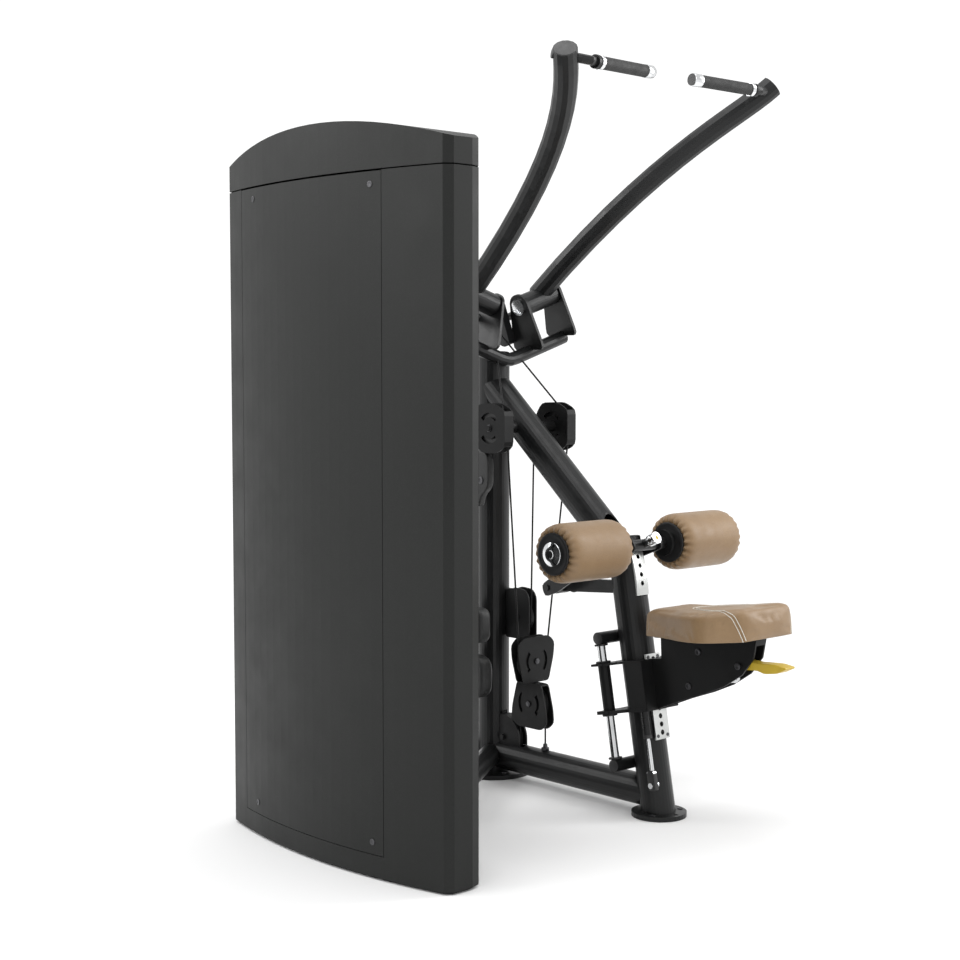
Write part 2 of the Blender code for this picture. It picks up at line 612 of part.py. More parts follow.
# the cable leaves the upright on a slanting line toward the tower
lift = Vector((STACK_X, TOWER_Y, 0))
line_dir = Vector((-0.823, -0.568, 0)).normalized()
rise_at = lift - line_dir * 2 * CABLE_RUN_R
cable_low = BASE_PULLEY.z - CABLE_RUN_R
line_left = Vector((-line_dir.y, line_dir.x, 0))
run = (-SMALL_RUN_R - rise_at.x - SMALL_RUN_R * line_left.x) / -line_dir.x
corner_centre = rise_at - line_dir * run + line_left * SMALL_RUN_R
corner_centre.z = cable_low
foot_centre = rise_at - line_dir * CABLE_RUN_R
foot_centre.z = cable_low + CABLE_RUN_R
top_centre = rise_at + line_dir * CABLE_RUN_R
top_centre.z = 1.520
pulley_plane = Vector((-line_dir.y, line_dir.x, 0))

turned("corner_pulley", small_profile, corner_centre, Z, finish=NYLON)
pulley("tower_foot_pulley", foot_centre, pulley_plane)
pulley("tower_top_pulley", top_centre, pulley_plane)

corner_plate = extrude("corner_plate", rectangle(-0.062, 0.030, -0.014, corner_centre.y + 0.026),
                       (0, 0, corner_centre.z - 0.0185), Z, Y, 0.008, cutter=True)
corner_post = bar("corner_post", corner_centre - Z * 0.012, corner_centre + Z * 0.0105, BOLT_R,
                  count=20, cutter=True)
corner_head = bar("corner_head", corner_centre + Z * 0.0100, corner_centre + Z * 0.014, 0.014,
                  count=20, cutter=True)
corner_bore = bar("upright_bore", (0, 0, -0.01), (0, 0, 0.3), TUBE_R - WALL / 2, count=32,
                  cutter=True)
cut(corner_plate, corner_bore)
join(main_upright, corner_plate, corner_post, corner_head)

base_points = tower_plan(0.010) + [(TOWER_IN - 0.012, TOWER_Y - 0.220),
                                   (TOWER_IN - 0.012, TOWER_Y + 0.220)]
tower_base = extrude("tower_base", base_points, (0, 0, 0), Z, Y, 0.012, smooth=False)
for gap_side in (-1, 1):
    cheek_at = foot_centre + pulley_plane * gap_side * 0.0135
    cheek = extrude("foot_cheek_" + ("b" if gap_side > 0 else "a"),
                    [(-0.03, 0.008 - foot_centre.z), (0.03, 0.008 - foot_centre.z),
                     (0.018, 0.014), (-0.018, 0.014)],
                    cheek_at - pulley_plane * 0.0025, pulley_plane, Z, 0.005, cutter=True)
    join(tower_base, cheek)
foot_axle = bar("foot_axle", foot_centre - pulley_plane * 0.016, foot_centre + pulley_plane * 0.016,
                BOLT_R, count=20, cutter=True)
join(tower_base, foot_axle)
shelf = box("stack_shelf", (STACK_X - 0.045, TOWER_Y - 0.14, 0.010),
            (STACK_X + 0.045, TOWER_Y + 0.14, STACK_FOOT - 0.0005), cutter=True)
shelf_notch = box("shelf_notch", (-0.715, -0.370, 0.0125), (-0.60, -0.16, 0.2), cutter=True)
join(tower_base, shelf)
LINK_Z = 0.060
link_end = Vector((-0.640, -0.450, LINK_Z))
link_dir = link_end.normalized()
link_dir = Vector((link_end.x, link_end.y, 0)).normalized()
link_plate = box("link_plate", (-0.648, -0.52, 0.010), (-0.640, -0.39, 0.105), cutter=True)
join(tower_base, link_plate)
tower_link = bar("tower_link", (0, 0, LINK_Z), link_end + link_dir * 0.05, 0.030, 0.027)
link_trim = box("link_trim", (-0.8, -0.7, 0.0), (-0.6397, -0.2, 0.2), cutter=True)
cut(tower_link, upright_keepout, floor_keepout, link_trim)
link_opening = bar("link_opening", (0, 0, LINK_Z), link_end, 0.034, cutter=True)
cut(inner_shroud, link_opening)

rod_places = {"rear": TOWER_Y - 0.105, "front": TOWER_Y + 0.105}
for where, y in rod_places.items():
    bar("stack_rod_" + where, (STACK_X, y, STACK_FOOT + 0.0), (STACK_X, y, 1.560), 0.0095,
        count=20, finish=CHROME)
top_frame = box("top_frame", (STACK_X - 0.030, TOWER_Y - 0.150, 1.5615),
                (STACK_X + 0.030, TOWER_Y + 0.150, 1.5800))
for gap_side in (-1, 1):
    hang = extrude("top_cheek_" + ("b" if gap_side > 0 else "a"),
                   [(-0.016, 0.055), (0.016, 0.055), (0.016, -0.014), (-0.016, -0.014)],
                   top_centre + pulley_plane * (gap_side * 0.0135 - 0.0025), pulley_plane, Z,
                   0.005, cutter=True)
    join(top_frame, hang)
top_axle = bar("top_axle", top_centre - pulley_plane * 0.016, top_centre + pulley_plane * 0.016,
               BOLT_R, count=20, cutter=True)
top_relief = bar("top_relief", top_centre - pulley_plane * 0.0105,
                 top_centre + pulley_plane * 0.0105, PULLEY_R + 0.004, cutter=True)
cut(top_frame, top_relief)
join(top_frame, top_axle)

# ---------------------------------------------------------------- weight stack
depth_x, depth_y = STACK_SIZE


def stack(name, low, count, groove):
    """Plates resting on one another, drawn as one body with a groove between each pair."""
    high = low + count * PLATE_PITCH - GAP
    made = box(name, (STACK_X - depth_x / 2, TOWER_Y - depth_y / 2, low),
               (STACK_X + depth_x / 2, TOWER_Y + depth_y / 2, high), finish=NYLON)
    for i in range(1, count):
        z = low + i * PLATE_PITCH
        ring = extrude("{}_groove_{}".format(name, i), rectangle(-0.2, -0.3, 0.2, 0.3),
                       (STACK_X, TOWER_Y, z - groove), Z, Y, groove,
                       [rectangle(-depth_x / 2 + 0.004, -depth_y / 2 + 0.004,
                                  depth_x / 2 - 0.004, depth_y / 2 - 0.004)], cutter=True)
        cut(made, ring)
    for y in rod_places.values():
        hole = bar("{}_rod_hole_{}".format(name, "r" if y < TOWER_Y else "f"),
                   (STACK_X, y, low - 0.1), (STACK_X, y, high + 0.1), 0.0115, count=20,
                   cutter=True)
        cut(made, hole)
    return made, high


resting, resting_top = stack("resting_plates", STACK_FOOT, PLATES_RESTING, 0.0012)
stem_hole = bar("stem_hole", (STACK_X, TOWER_Y, STACK_FOOT - 0.02),
                (STACK_X, TOWER_Y, resting_top + 0.1), 0.0135, count=20, cutter=True)
cut(resting, stem_hole)
lifted_low = STACK_FOOT + PLATES_RESTING * PLATE_PITCH
lifted, lifted_top = stack("lifted_plates", lifted_low, PLATES_LIFTED, 0.0012)
stem = bar("selector_stem", (STACK_X, TOWER_Y, STACK_FOOT + 0.012),
           (STACK_X, TOWER_Y, lifted_top + 0.030), 0.0125, count=20, cutter=True)
join(lifted, stem)
PIN_Z = lifted_low + PLATE_PITCH * 0.5
pin_bore = bar("pin_bore", (STACK_X - 0.030, TOWER_Y - 0.06, PIN_Z),
               (STACK_X + 0.08, TOWER_Y - 0.06, PIN_Z), 0.0055, count=16, cutter=True)
cut(lifted, pin_bore)
selector_pin = bar("selector_pin", (STACK_X - 0.025, TOWER_Y - 0.06, PIN_Z),
                   (STACK_X + depth_x / 2 + 0.012, TOWER_Y - 0.06, PIN_Z), 0.0052, count=16,
                   finish=CHROME)
pin_knob = bar("pin_knob", (STACK_X + depth_x / 2 + 0.002, TOWER_Y - 0.06, PIN_Z),
               (STACK_X + depth_x / 2 + 0.030, TOWER_Y - 0.06, PIN_Z), 0.012, count=24,
               cutter=True)
join(selector_pin, pin_knob)

# ---------------------------------------------------------------- seat
seat_rear = [(0.097, 0.355), (0.152, 0.282)]
seat_flank = [(0.158, 0.245), (0.146, 0.190), (0.112, 0.120), (0.090, 0.060), (0.082, 0.004)]
right_half = seat_rear + seat_flank
seat_plan = right_half + [(-x, y) for x, y in reversed(right_half)]
SEAT_TILT = math.atan2(0.027, 0.355)
seat_base = Vector((0, -0.6265, 0.4760))
seat_back = Vector((0, -math.cos(SEAT_TILT), math.sin(SEAT_TILT)))
seat_up = Vector((0, math.sin(SEAT_TILT), math.cos(SEAT_TILT)))
seat_cushion = extrude("seat_cushion", rounded([(-x, y) for x, y in seat_plan], 0.03, 3),
                       seat_base, seat_up, seat_back, 0.076, finish=LEATHER)
crown = extrude("seat_crown", [(0.40, 0.150), (-0.05, 0.150), (-0.05, 0.045), (0.0, 0.058),
                               (0.05, 0.0625), (0.13, 0.061), (0.24, 0.064), (0.31, 0.071),
                               (0.40, 0.0745)],
                seat_base - X * 0.3, X, seat_up, 0.6, cutter=True)
crown.matrix_world = Matrix.Translation(seat_base - X * 0.3) @ Matrix((
    (0, 0, 1, 0), (seat_back.y, seat_up.y, 0, 0), (seat_back.z, seat_up.z, 0, 0), (0, 0, 0, 1)))
cut(seat_cushion, crown)

fin_outline = [(0.0585, 0.2745), (0.151, 0.2946), (0.225, 0.3073), (0.290, 0.3230),
               (0.3500, 0.3480), (0.3920, 0.3850), (0.4090, 0.4295), (0.104, 0.4625),
               (0.096, 0.4035), (0.0585, 0.4035)]


def in_post_plane(name, outline, x0, x1, holes=(), **kinds):
    """An outline in the post's (behind, along) frame, extruded across from x0 to x1."""
    flipped = [(-v, w) for v, w in outline]
    return extrude(name, flipped, on_post(x0, 0, 0), X, post_up, x1 - x0,
                   [[(-v, w) for v, w in hole] for hole in holes], **kinds)


seat_carriage = in_post_plane("seat_carriage", fin_outline, -0.020, 0.020, smooth=False)
fin_inside = in_post_plane("fin_inside", [(0.066, 0.20), (0.45, 0.20), (0.45, 0.395),
                                          (0.385, 0.424), (0.109, 0.4530), (0.101, 0.399),
                                          (0.066, 0.399)], -0.015, 0.015, cutter=True)
cut(seat_carriage, fin_inside)
for side in (-1, 1):
    cheek = in_post_plane("collar_cheek_" + ("r" if side > 0 else "l"),
                          rectangle(0.002, CARRIAGE_LOW + 0.001, 0.0610, CARRIAGE_HIGH - 0.001),
                          0.058 * side - 0.0025, 0.058 * side + 0.0025, cutter=True)
    join(seat_carriage, cheek)
collar_back = in_post_plane("collar_back", rectangle(0.0560, CARRIAGE_LOW + 0.002, 0.062, CARRIAGE_HIGH - 0.002),
                            -0.0590, 0.0590, cutter=True)
join(seat_carriage, collar_back)
for label, w in (("low", CARRIAGE_LOW), ("high", CARRIAGE_HIGH - 0.006)):
    outline = rounded([(-0.0612, 0.063), (0.0612, 0.063), (0.0612, -0.010), (0.090, -0.045),
                       (0.090, -0.090), (0.040, -0.090), (0.020, -0.075), (-0.020, -0.075),
                       (-0.040, -0.090), (-0.090, -0.090), (-0.090, -0.045), (-0.0612, -0.010)],
                      0.004, 2)
    flange = extrude("collar_flange_" + label, [(x, -v) for x, v in outline],
                     on_post(0, 0, w), post_up, -post_back, 0.006 if w > 0.3 else 0.0085,
                     [circle(TUBE_R + 0.002, 32), circle(0.0112, 20, SEAT_ROD_X, -SEAT_ROD_V),
                      circle(0.0112, 20, -SEAT_ROD_X, -SEAT_ROD_V)], cutter=True)
    join(seat_carriage, flange)
for side in (-1, 1):
    sleeve = bar("rod_sleeve_" + ("r" if side > 0 else "l"),
                 on_post(SEAT_ROD_X * side, SEAT_ROD_V, CARRIAGE_LOW + 0.003),
                 on_post(SEAT_ROD_X * side, SEAT_ROD_V, CARRIAGE_HIGH - 0.003), 0.0155, 0.0116,
                 count=20, cutter=True)
    join(seat_carriage, sleeve)
seat_plate = extrude("seat_plate", rounded(rectangle(-0.060, 0.030, 0.060, 0.300), 0.01, 2),
                     seat_base - seat_up * 0.0058, seat_up, seat_back, 0.0055, cutter=True)
join(seat_carriage, seat_plate)
for side in (-1, 1):
    tag = "right" if side > 0 else "left"
    rod = bar("seat_guide_rod_" + tag, on_post(SEAT_ROD_X * side, SEAT_ROD_V, 0.140),
              on_post(SEAT_ROD_X * side, SEAT_ROD_V, 0.470), 0.0109, count=24, finish=CHROME)
    for label, w in (("upper", 0.470), ("lower", 0.140)):
        seat = bar("rod_seat_{}_{}".format(label, tag), on_post(0.10 * side, -0.058, w),
                   on_post(0.03 * side, -0.058, w), 0.016 + GAP, count=24, cutter=True)
        cut(rod, seat)

LATCH_W = 0.3390
hole_ws = [LATCH_W + SEAT_HOLE_STEP * k for k in range(-6, 4)]
plate_holes = [circle(0.0068, 12, 0.0, w) for w in hole_ws]
hole_plate = extrude("seat_hole_plate",
                     rectangle(-0.0265, hole_ws[0] - 0.017, 0.0265, hole_ws[-1] + 0.014),
                     on_post(0, 0.0450, 0), post_back, post_up, 0.005, plate_holes, finish=ZINC)
for x in (-0.018, 0.018):
    for w in (hole_ws[0] - 0.008, hole_ws[-1] + 0.006):
        screw = bar("plate_screw_{:.0f}_{:.0f}".format(x * 1000, w * 1000), on_post(x, 0.0470, w),
                    on_post(x, 0.0502, w), 0.0042, count=12, cutter=True)
        join(hole_plate, screw)

LEVER_V, LEVER_W = 0.349, 0.373
seat_lever = in_post_plane("seat_lever", rounded([(0.330, 0.364), (0.395, 0.360), (0.472, 0.352),
                                                 (0.478, 0.359), (0.455, 0.366), (0.395, 0.372),
                                                 (0.358, 0.386), (0.330, 0.384)], 0.004, 2),
                           -0.0105, 0.0105, finish=YELLOW)
paddle = in_post_plane("lever_paddle", rounded([(0.400, 0.3620), (0.420, 0.3500), (0.470, 0.3490),
                                               (0.484, 0.3560), (0.462, 0.3660),
                                               (0.405, 0.3720)], 0.004, 2),
                       -0.019, 0.019, cutter=True)
lever_hole = bar("lever_hole", on_post(-0.03, LEVER_V, LEVER_W), on_post(0.03, LEVER_V, LEVER_W),
                 0.0050 + GAP, count=16, cutter=True)
join(seat_lever, paddle)
cut(seat_lever, lever_hole)
plate_slot = in_post_plane("plate_slot", rectangle(0.040, 0.25, 0.0535, 0.42), -0.0285, 0.0285,
                           cutter=True)
spring_pass = bar("spring_pass", on_post(-0.0440, 0.0370, 0.25), on_post(-0.0440, 0.0370, 0.30),
                  0.0113, count=20, cutter=True)
cut(seat_carriage, plate_slot, spring_pass)
lever_axle = bar("lever_axle", on_post(-0.024, LEVER_V, LEVER_W),
                 on_post(0.024, LEVER_V, LEVER_W), 0.0050, count=16, cutter=True)
join(seat_carriage, lever_axle)
latch_hole = bar("latch_hole", on_post(0, 0.03, LATCH_W), on_post(0, 0.09, LATCH_W), 0.0065,
                 count=16, cutter=True)
cut(seat_carriage, latch_hole)
latch = bar("seat_latch_pin", on_post(0, 0.0505, LATCH_W), on_post(0, 0.322, LATCH_W), 0.0060,
            count=16, finish=CHROME)
latch_head = bar("latch_head", on_post(0, 0.300, LATCH_W), on_post(0, 0.314, LATCH_W), 0.0100,
                 count=16, cutter=True)
join(latch, latch_head)

SPRING_X, SPRING_V = -0.0440, 0.0370
bar("gas_spring_body", on_post(SPRING_X, SPRING_V, 0.2100), on_post(SPRING_X, SPRING_V, 0.3979),
    0.0105, 0.0060, count=20, finish=RUBBER)
spring_rod = bar("gas_spring_rod", on_post(SPRING_X, SPRING_V, 0.080),
                 on_post(SPRING_X, SPRING_V, 0.3000), 0.0057, count=16, finish=CHROME)
spring_foot = extrude("spring_foot", rounded(rectangle(-0.0110, 0.072, 0.0110, 0.120), 0.004, 2),
                      on_post(SPRING_X - 0.009, SPRING_V - 0.0, 0), X, post_up, 0.012,
                      cutter=True)
spring_lug = bar("spring_lug", on_post(SPRING_X - 0.0145, SPRING_V, 0.084),
                 on_post(SPRING_X + 0.012, SPRING_V, 0.084), 0.0075, count=16, cutter=True)
join(spring_rod, spring_foot, spring_lug)
cut(spring_rod, post_keepout)

# ---------------------------------------------------------------- thigh pads
pad_dir = Vector((0, -math.cos(PAD_ANGLE), math.sin(PAD_ANGLE)))
pad_axis = PAD_PIVOT + pad_dir * PAD_REACH


def pad_polar(radius, degrees):
    """(Y, Z) about the pad arm's pivot, degrees above level toward the user."""
    a = math.radians(degrees)
    return (PAD_PIVOT.y - radius * math.cos(a), PAD_PIVOT.z + radius * math.sin(a))


arc_in, arc_out = ARC_R - 0.003, ARC_R + 0.003
strip = [pad_polar(arc_out, d) for d in range(1, 33, 2)]
strip += [pad_polar(arc_in, d) for d in range(31, -1, -2)]
arc_plate = extrude("pad_arc_plate", strip, (-0.022, 0, 0), X, Z, 0.044, finish=ZINC)
hole_degrees = [math.degrees(PAD_ANGLE + HOLE_STEP * k) for k in range(-4, 2)]
for number, angle in enumerate(hole_degrees):
    near_y, near_z = pad_polar(ARC_R - 0.02, angle)
    far_y, far_z = pad_polar(ARC_R + 0.02, angle)
    drill = bar("arc_hole_{}".format(number), (0, near_y, near_z), (0, far_y, far_z), 0.0062,
                count=16, cutter=True)
    cut(arc_plate, drill)
post_relief = extrude("post_relief", [pad_polar(0.40, 0.6), pad_polar(0.40, 40)]
                      + [pad_polar(arc_in - GAP, d) for d in range(40, 0, -2)]
                      + [pad_polar(arc_in - GAP, 0.6)],
                      (-0.0225, 0, 0), X, Z, 0.045, cutter=True)
cut(seat_post, post_relief)

pad_bracket = extrude("pad_bracket", [(PAD_PIVOT.y + 0.018, 0.548), (PAD_PIVOT.y + 0.018, 0.574),
                                      (PAD_PIVOT.y - 0.06, 0.586), (-0.52, 0.600),
                                      (-0.52, 0.566), (PAD_PIVOT.y - 0.06, 0.552)],
                      (-0.008, 0, 0), X, Z, 0.016, cutter=True)
pad_bracket_eye = bar("pad_bracket_eye", (-0.020, PAD_PIVOT.y, PAD_PIVOT.z),
                      (0.020, PAD_PIVOT.y, PAD_PIVOT.z), 0.019, count=24, cutter=True)
pad_bracket_hole = bar("pad_bracket_hole", (-0.03, PAD_PIVOT.y, PAD_PIVOT.z),
                       (0.03, PAD_PIVOT.y, PAD_PIVOT.z), BOLT_R + GAP, count=24, cutter=True)
post_bore = bar("post_bore", on_post(0, 0, 0.02), on_post(0, 0, SEAT_POST_LENGTH + 0.05),
                TUBE_R - WALL / 2, count=32, cutter=True)
cut(pad_bracket, post_bore)
join(seat_post, pad_bracket, pad_bracket_eye)
cut(seat_post, pad_bracket_hole)

arm_plate = rounded([(0.018, 0.014), (0.018, -0.020), (-0.03, -0.024), (-0.11, -0.014),
                     (-0.20, -0.012), (-0.345, -0.020), (-0.345, 0.020), (-0.20, 0.022),
                     (-0.11, 0.012), (-0.02, 0.020)], 0.012, 2)
pad_up = Vector((0, math.sin(PAD_ANGLE), math.cos(PAD_ANGLE)))
pad_arm = extrude("pad_arm", arm_plate, PAD_PIVOT - X * 0.0535, X, pad_up, 0.006)
far_plate = extrude("pad_arm_far_plate", arm_plate, PAD_PIVOT + X * 0.0475, X, pad_up, 0.006,
                    cutter=True)
pad_shaft = bar("pad_shaft", pad_axis - X * 0.331, pad_axis + X * 0.331, 0.0120, count=24,
                cutter=True)
shaft_sleeve = bar("shaft_sleeve", pad_axis - X * 0.088, pad_axis + X * 0.088, 0.0150, count=24,
                   cutter=True)
pivot_pin = bar("pad_pivot_pin", PAD_PIVOT - X * 0.058, PAD_PIVOT + X * 0.058, BOLT_R, count=20,
                cutter=True)
join(pad_arm, far_plate, pad_shaft, shaft_sleeve, pivot_pin)
for side in (-1, 1):
    disc = bar("pad_stop_" + ("r" if side > 0 else "l"), pad_axis + X * side * 0.080,
               pad_axis + X * side * 0.0885, 0.034, count=28, cutter=True)
    nut = bar("pad_nut_" + ("r" if side > 0 else "l"), pad_axis + X * side * 0.3265,
              pad_axis + X * side * 0.3350, 0.016, count=24, cutter=True)
    join(pad_arm, disc, nut)
barrel = bar("pin_barrel", PAD_PIVOT + pad_dir * (PAD_REACH - 0.018),
             PAD_PIVOT + pad_dir * (PAD_REACH + 0.030), 0.0115, count=20, cutter=True)
barrel_bore = bar("pin_barrel_bore", PAD_PIVOT + pad_dir * (PAD_REACH - 0.04),
                  PAD_PIVOT + pad_dir * (PAD_REACH + 0.05), 0.0058, count=16, cutter=True)
join(pad_arm, barrel)
cut(pad_arm, barrel_bore)
pop_pin = bar("pad_pop_pin", PAD_PIVOT + pad_dir * (ARC_R + 0.0038),
              PAD_PIVOT + pad_dir * (PAD_REACH + 0.040), 0.0054, count=16, finish=CHROME)
pop_knob = bar("pad_pop_knob", PAD_PIVOT + pad_dir * (PAD_REACH + 0.0306),
               PAD_PIVOT + pad_dir * (PAD_REACH + 0.056), 0.0150, count=24, cutter=True)
join(pop_pin, pop_knob)

for side in (-1, 1):
    tag = "right" if side > 0 else "left"
    profile = [(0.0125, PAD_IN - 0.010), (0.050, PAD_IN - 0.010), (0.050, PAD_IN + 0.001),
               (0.062, PAD_IN), (PAD_R - 0.003, PAD_IN + 0.012), (PAD_R, PAD_IN + 0.030),
               (PAD_R, PAD_OUT - 0.030), (PAD_R - 0.003, PAD_OUT - 0.012), (0.062, PAD_OUT),
               (0.050, PAD_OUT - 0.001), (0.050, PAD_OUT + 0.002), (0.0125, PAD_OUT + 0.002)]
    turned("pad_roller_" + tag, profile, Vector((0, pad_axis.y, pad_axis.z)), X * side,
           finish=LEATHER)

# ---------------------------------------------------------------- cables
def wrap(centre, radius, u, w, start, end, steps=7):
    """Points round a pulley, in the plane of u and w, angles in degrees."""
    angles = [math.radians(start + (end - start) * i / steps) for i in range(steps + 1)]
    return [Vector(centre) + radius * (math.cos(a) * u + math.sin(a) * w) for a in angles]


def tangent_degrees(centre, place, radius):
    """Angle in the YZ plane where a line from a place above meets a pulley's far side."""
    reach = Vector((place.y - centre.y, place.z - centre.z))
    return math.degrees(math.atan2(reach.y, reach.x) + math.acos(radius / reach.length))


def horn_to_block(side):
    """The equaliser's path from one arm's horn down to the floating block."""
    horn_end = pivot_point(side, -HUB_HALF - 0.028, 0.1120, 0.0660)
    centre = mirrored(DIVERTER, side)
    slanting = CABLE_RUN_R + 0.0025
    first = tangent_degrees(centre, horn_end, slanting)
    over = wrap(centre, slanting, Y, Z, first, 180, 6)
    return [horn_end, *over]


equaliser = horn_to_block(-1)
equaliser += wrap(upper_centre, CABLE_RUN_R, X, Z, 180, 360, 12)
equaliser += reversed(horn_to_block(1))
sweep("equaliser_cable", equaliser, CABLE_R, resolution=1, finish=RUBBER)

lifting = [Vector((0, BLOCK_Y - CABLE_RUN_R, FLOOR_TUBE_Z + FLOOR_TUBE_R + 0.0008))]
lifting += wrap(lower_centre, CABLE_RUN_R, Y, Z, 180, 0, 11)
lifting += wrap(BASE_PULLEY, CABLE_RUN_R, Y, Z, 180, 270, 6)
heading = math.degrees(math.atan2(-line_left.y, -line_left.x))
lifting += wrap(corner_centre, SMALL_RUN_R, X, Y, 0, heading, 8)
lifting += wrap(foot_centre, CABLE_RUN_R, line_dir, Z, -90, 0, 6)
lifting += wrap(top_centre, CABLE_RUN_R, line_dir, Z, 180, 0, 11)
lifting += [Vector((STACK_X, TOWER_Y, lifted_top + 0.0305))]
sweep("lifting_cable", lifting, CABLE_R, resolution=1, finish=RUBBER)
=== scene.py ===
"""Looks for a lat pulldown machine: finishes, cushions, cables and fittings on the frame."""
import math

import bmesh
import bpy
from mathutils import Matrix, Vector, kdtree


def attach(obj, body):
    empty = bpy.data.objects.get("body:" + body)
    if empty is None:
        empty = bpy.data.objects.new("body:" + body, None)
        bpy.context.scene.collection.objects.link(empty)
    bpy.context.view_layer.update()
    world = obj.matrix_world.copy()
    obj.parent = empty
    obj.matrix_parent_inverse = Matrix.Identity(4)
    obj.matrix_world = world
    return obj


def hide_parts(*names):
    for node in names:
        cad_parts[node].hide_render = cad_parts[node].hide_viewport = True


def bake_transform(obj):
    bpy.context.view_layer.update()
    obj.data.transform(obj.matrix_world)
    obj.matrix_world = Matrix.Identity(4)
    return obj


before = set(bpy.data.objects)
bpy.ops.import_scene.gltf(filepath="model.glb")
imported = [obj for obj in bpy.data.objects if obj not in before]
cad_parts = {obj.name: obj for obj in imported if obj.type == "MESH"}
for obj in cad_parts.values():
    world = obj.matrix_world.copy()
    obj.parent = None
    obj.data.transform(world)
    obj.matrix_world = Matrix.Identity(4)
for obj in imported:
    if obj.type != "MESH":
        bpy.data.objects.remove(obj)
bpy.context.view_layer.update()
X, Y, Z = Vector((1, 0, 0)), Vector((0, 1, 0)), Vector((0, 0, 1))
SIDES = ((-1, "left"), (1, "right"))

# ------------------------------------------------------------------ camera
bpy.ops.object.select_all(action="DESELECT")
bpy.ops.object.camera_add(location=(-3.181, -3.432, 1.150),
                          rotation=(math.radians(86.17), 0, math.radians(-42.35)))
camera = bpy.context.object
camera.data.lens = 62.1
camera.data.sensor_width = 36
bpy.context.scene.camera = camera


# ------------------------------------------------------------------ workshop tools
def nothing_selected():
    bpy.ops.object.select_all(action="DESELECT")


def only(piece):
    nothing_selected()
    piece.select_set(True)
    bpy.context.view_layer.objects.active = piece


def named(name):
    piece = bpy.context.object
    piece.name = piece.data.name = name
    return piece


def first_point(name, place):
    """A mesh of one vertex, still in edit mode, ready to be extruded."""
    nothing_selected()
    bpy.ops.mesh.primitive_plane_add(size=0.01, location=place)
    piece = named(name)
    bpy.ops.object.transform_apply(location=True, rotation=True, scale=True)
    bpy.ops.object.mode_set(mode="EDIT")
    bpy.ops.mesh.select_all(action="SELECT")
    bpy.ops.mesh.merge(type="CENTER")
    return piece


def draw_to(step):
    bpy.ops.mesh.extrude_vertices_move(TRANSFORM_OT_translate={"value": tuple(step)})


def closed_up():
    bpy.ops.mesh.select_all(action="SELECT")
    bpy.ops.mesh.remove_doubles(threshold=1e-6)
    bpy.ops.mesh.normals_make_consistent(inside=False)
    bpy.ops.object.mode_set(mode="OBJECT")


def smooth(piece, degrees=35):
    only(piece)
    bpy.ops.object.shade_smooth_by_angle(angle=math.radians(degrees))


def rounded_edges(piece, width, segments=3, degrees=35):
    only(piece)
    step = piece.modifiers.new("edge_round", "BEVEL")
    step.width, step.segments = width, segments
    step.limit_method, step.angle_limit = "ANGLE", math.radians(degrees)
    bpy.ops.object.modifier_apply(modifier=step.name)


def aim(base, along, across=None):
    """A matrix whose Z runs along a direction, from a base point."""
    z = Vector(along).normalized()
    x = Vector(across).normalized() if across else z.orthogonal().normalized()
    y = z.cross(x).normalized()
    x = y.cross(z)
    turn = Matrix((x, y, z)).transposed().to_4x4()
    return Matrix.Translation(Vector(base)) @ turn


def lathe(name, profile, base=(0, 0, 0), along=(0, 0, 1), steps=40, edge=35):
    """Spins (radius, height) pairs round an axis."""
    piece = first_point(name, (profile[0][0], 0, profile[0][1]))
    for (r0, h0), (r1, h1) in zip(profile, profile[1:]):
        draw_to((r1 - r0, 0, h1 - h0))
    bpy.ops.mesh.select_all(action="SELECT")
    bpy.ops.mesh.spin(steps=steps, angle=math.tau, center=(0, 0, 0), axis=(0, 0, 1))
    closed_up()
    piece.data.transform(aim(base, along))
    smooth(piece, edge)
    return piece


def sheet_cut(name, outline, thickness, place, edge=0.0, segments=2, edge_angle=35):
    """Cuts an outline of (x, y) pairs, gives it thickness along Z, and sets it down."""
    piece = first_point(name, (*outline[0], 0))
    for (x0, y0), (x1, y1) in zip(outline, outline[1:]):
        draw_to((x1 - x0, y1 - y0, 0))
    bpy.ops.mesh.select_all(action="SELECT")
    bpy.ops.mesh.edge_face_add()
    bpy.ops.mesh.select_all(action="SELECT")
    bpy.ops.mesh.extrude_region_move(TRANSFORM_OT_translate={"value": (0, 0, thickness)})
    closed_up()
    if edge:
        rounded_edges(piece, edge, segments, edge_angle)
    piece.data.transform(place)
    smooth(piece)
    return piece


def rounded(points, radius, steps=4):
    """Rounds the corners of an outline."""
    made = []
    count = len(points)
    for i, here in enumerate(points):
        here = Vector(here)
        before, after = Vector(points[i - 1]), Vector(points[(i + 1) % count])
        a, b = (before - here), (after - here)
        reach = min(radius, a.length * 0.45, b.length * 0.45)
        start, end = here + a.normalized() * reach, here + b.normalized() * reach
        for k in range(steps + 1):
            t = k / steps
            made.append(tuple((1 - t) ** 2 * start + 2 * t * (1 - t) * here + t * t * end))
    return made


def copy_of(piece, name, place=None):
    twin = piece.copy()
    twin.data = piece.data.copy()
    twin.name = twin.data.name = name
    bpy.context.scene.collection.objects.link(twin)
    if place is not None:
        twin.data.transform(place)
        if place.determinant() < 0:
            twin.data.flip_normals()
    return twin


def mirrored(piece, name):
    return copy_of(piece, name, Matrix.Diagonal((-1, 1, 1, 1)))


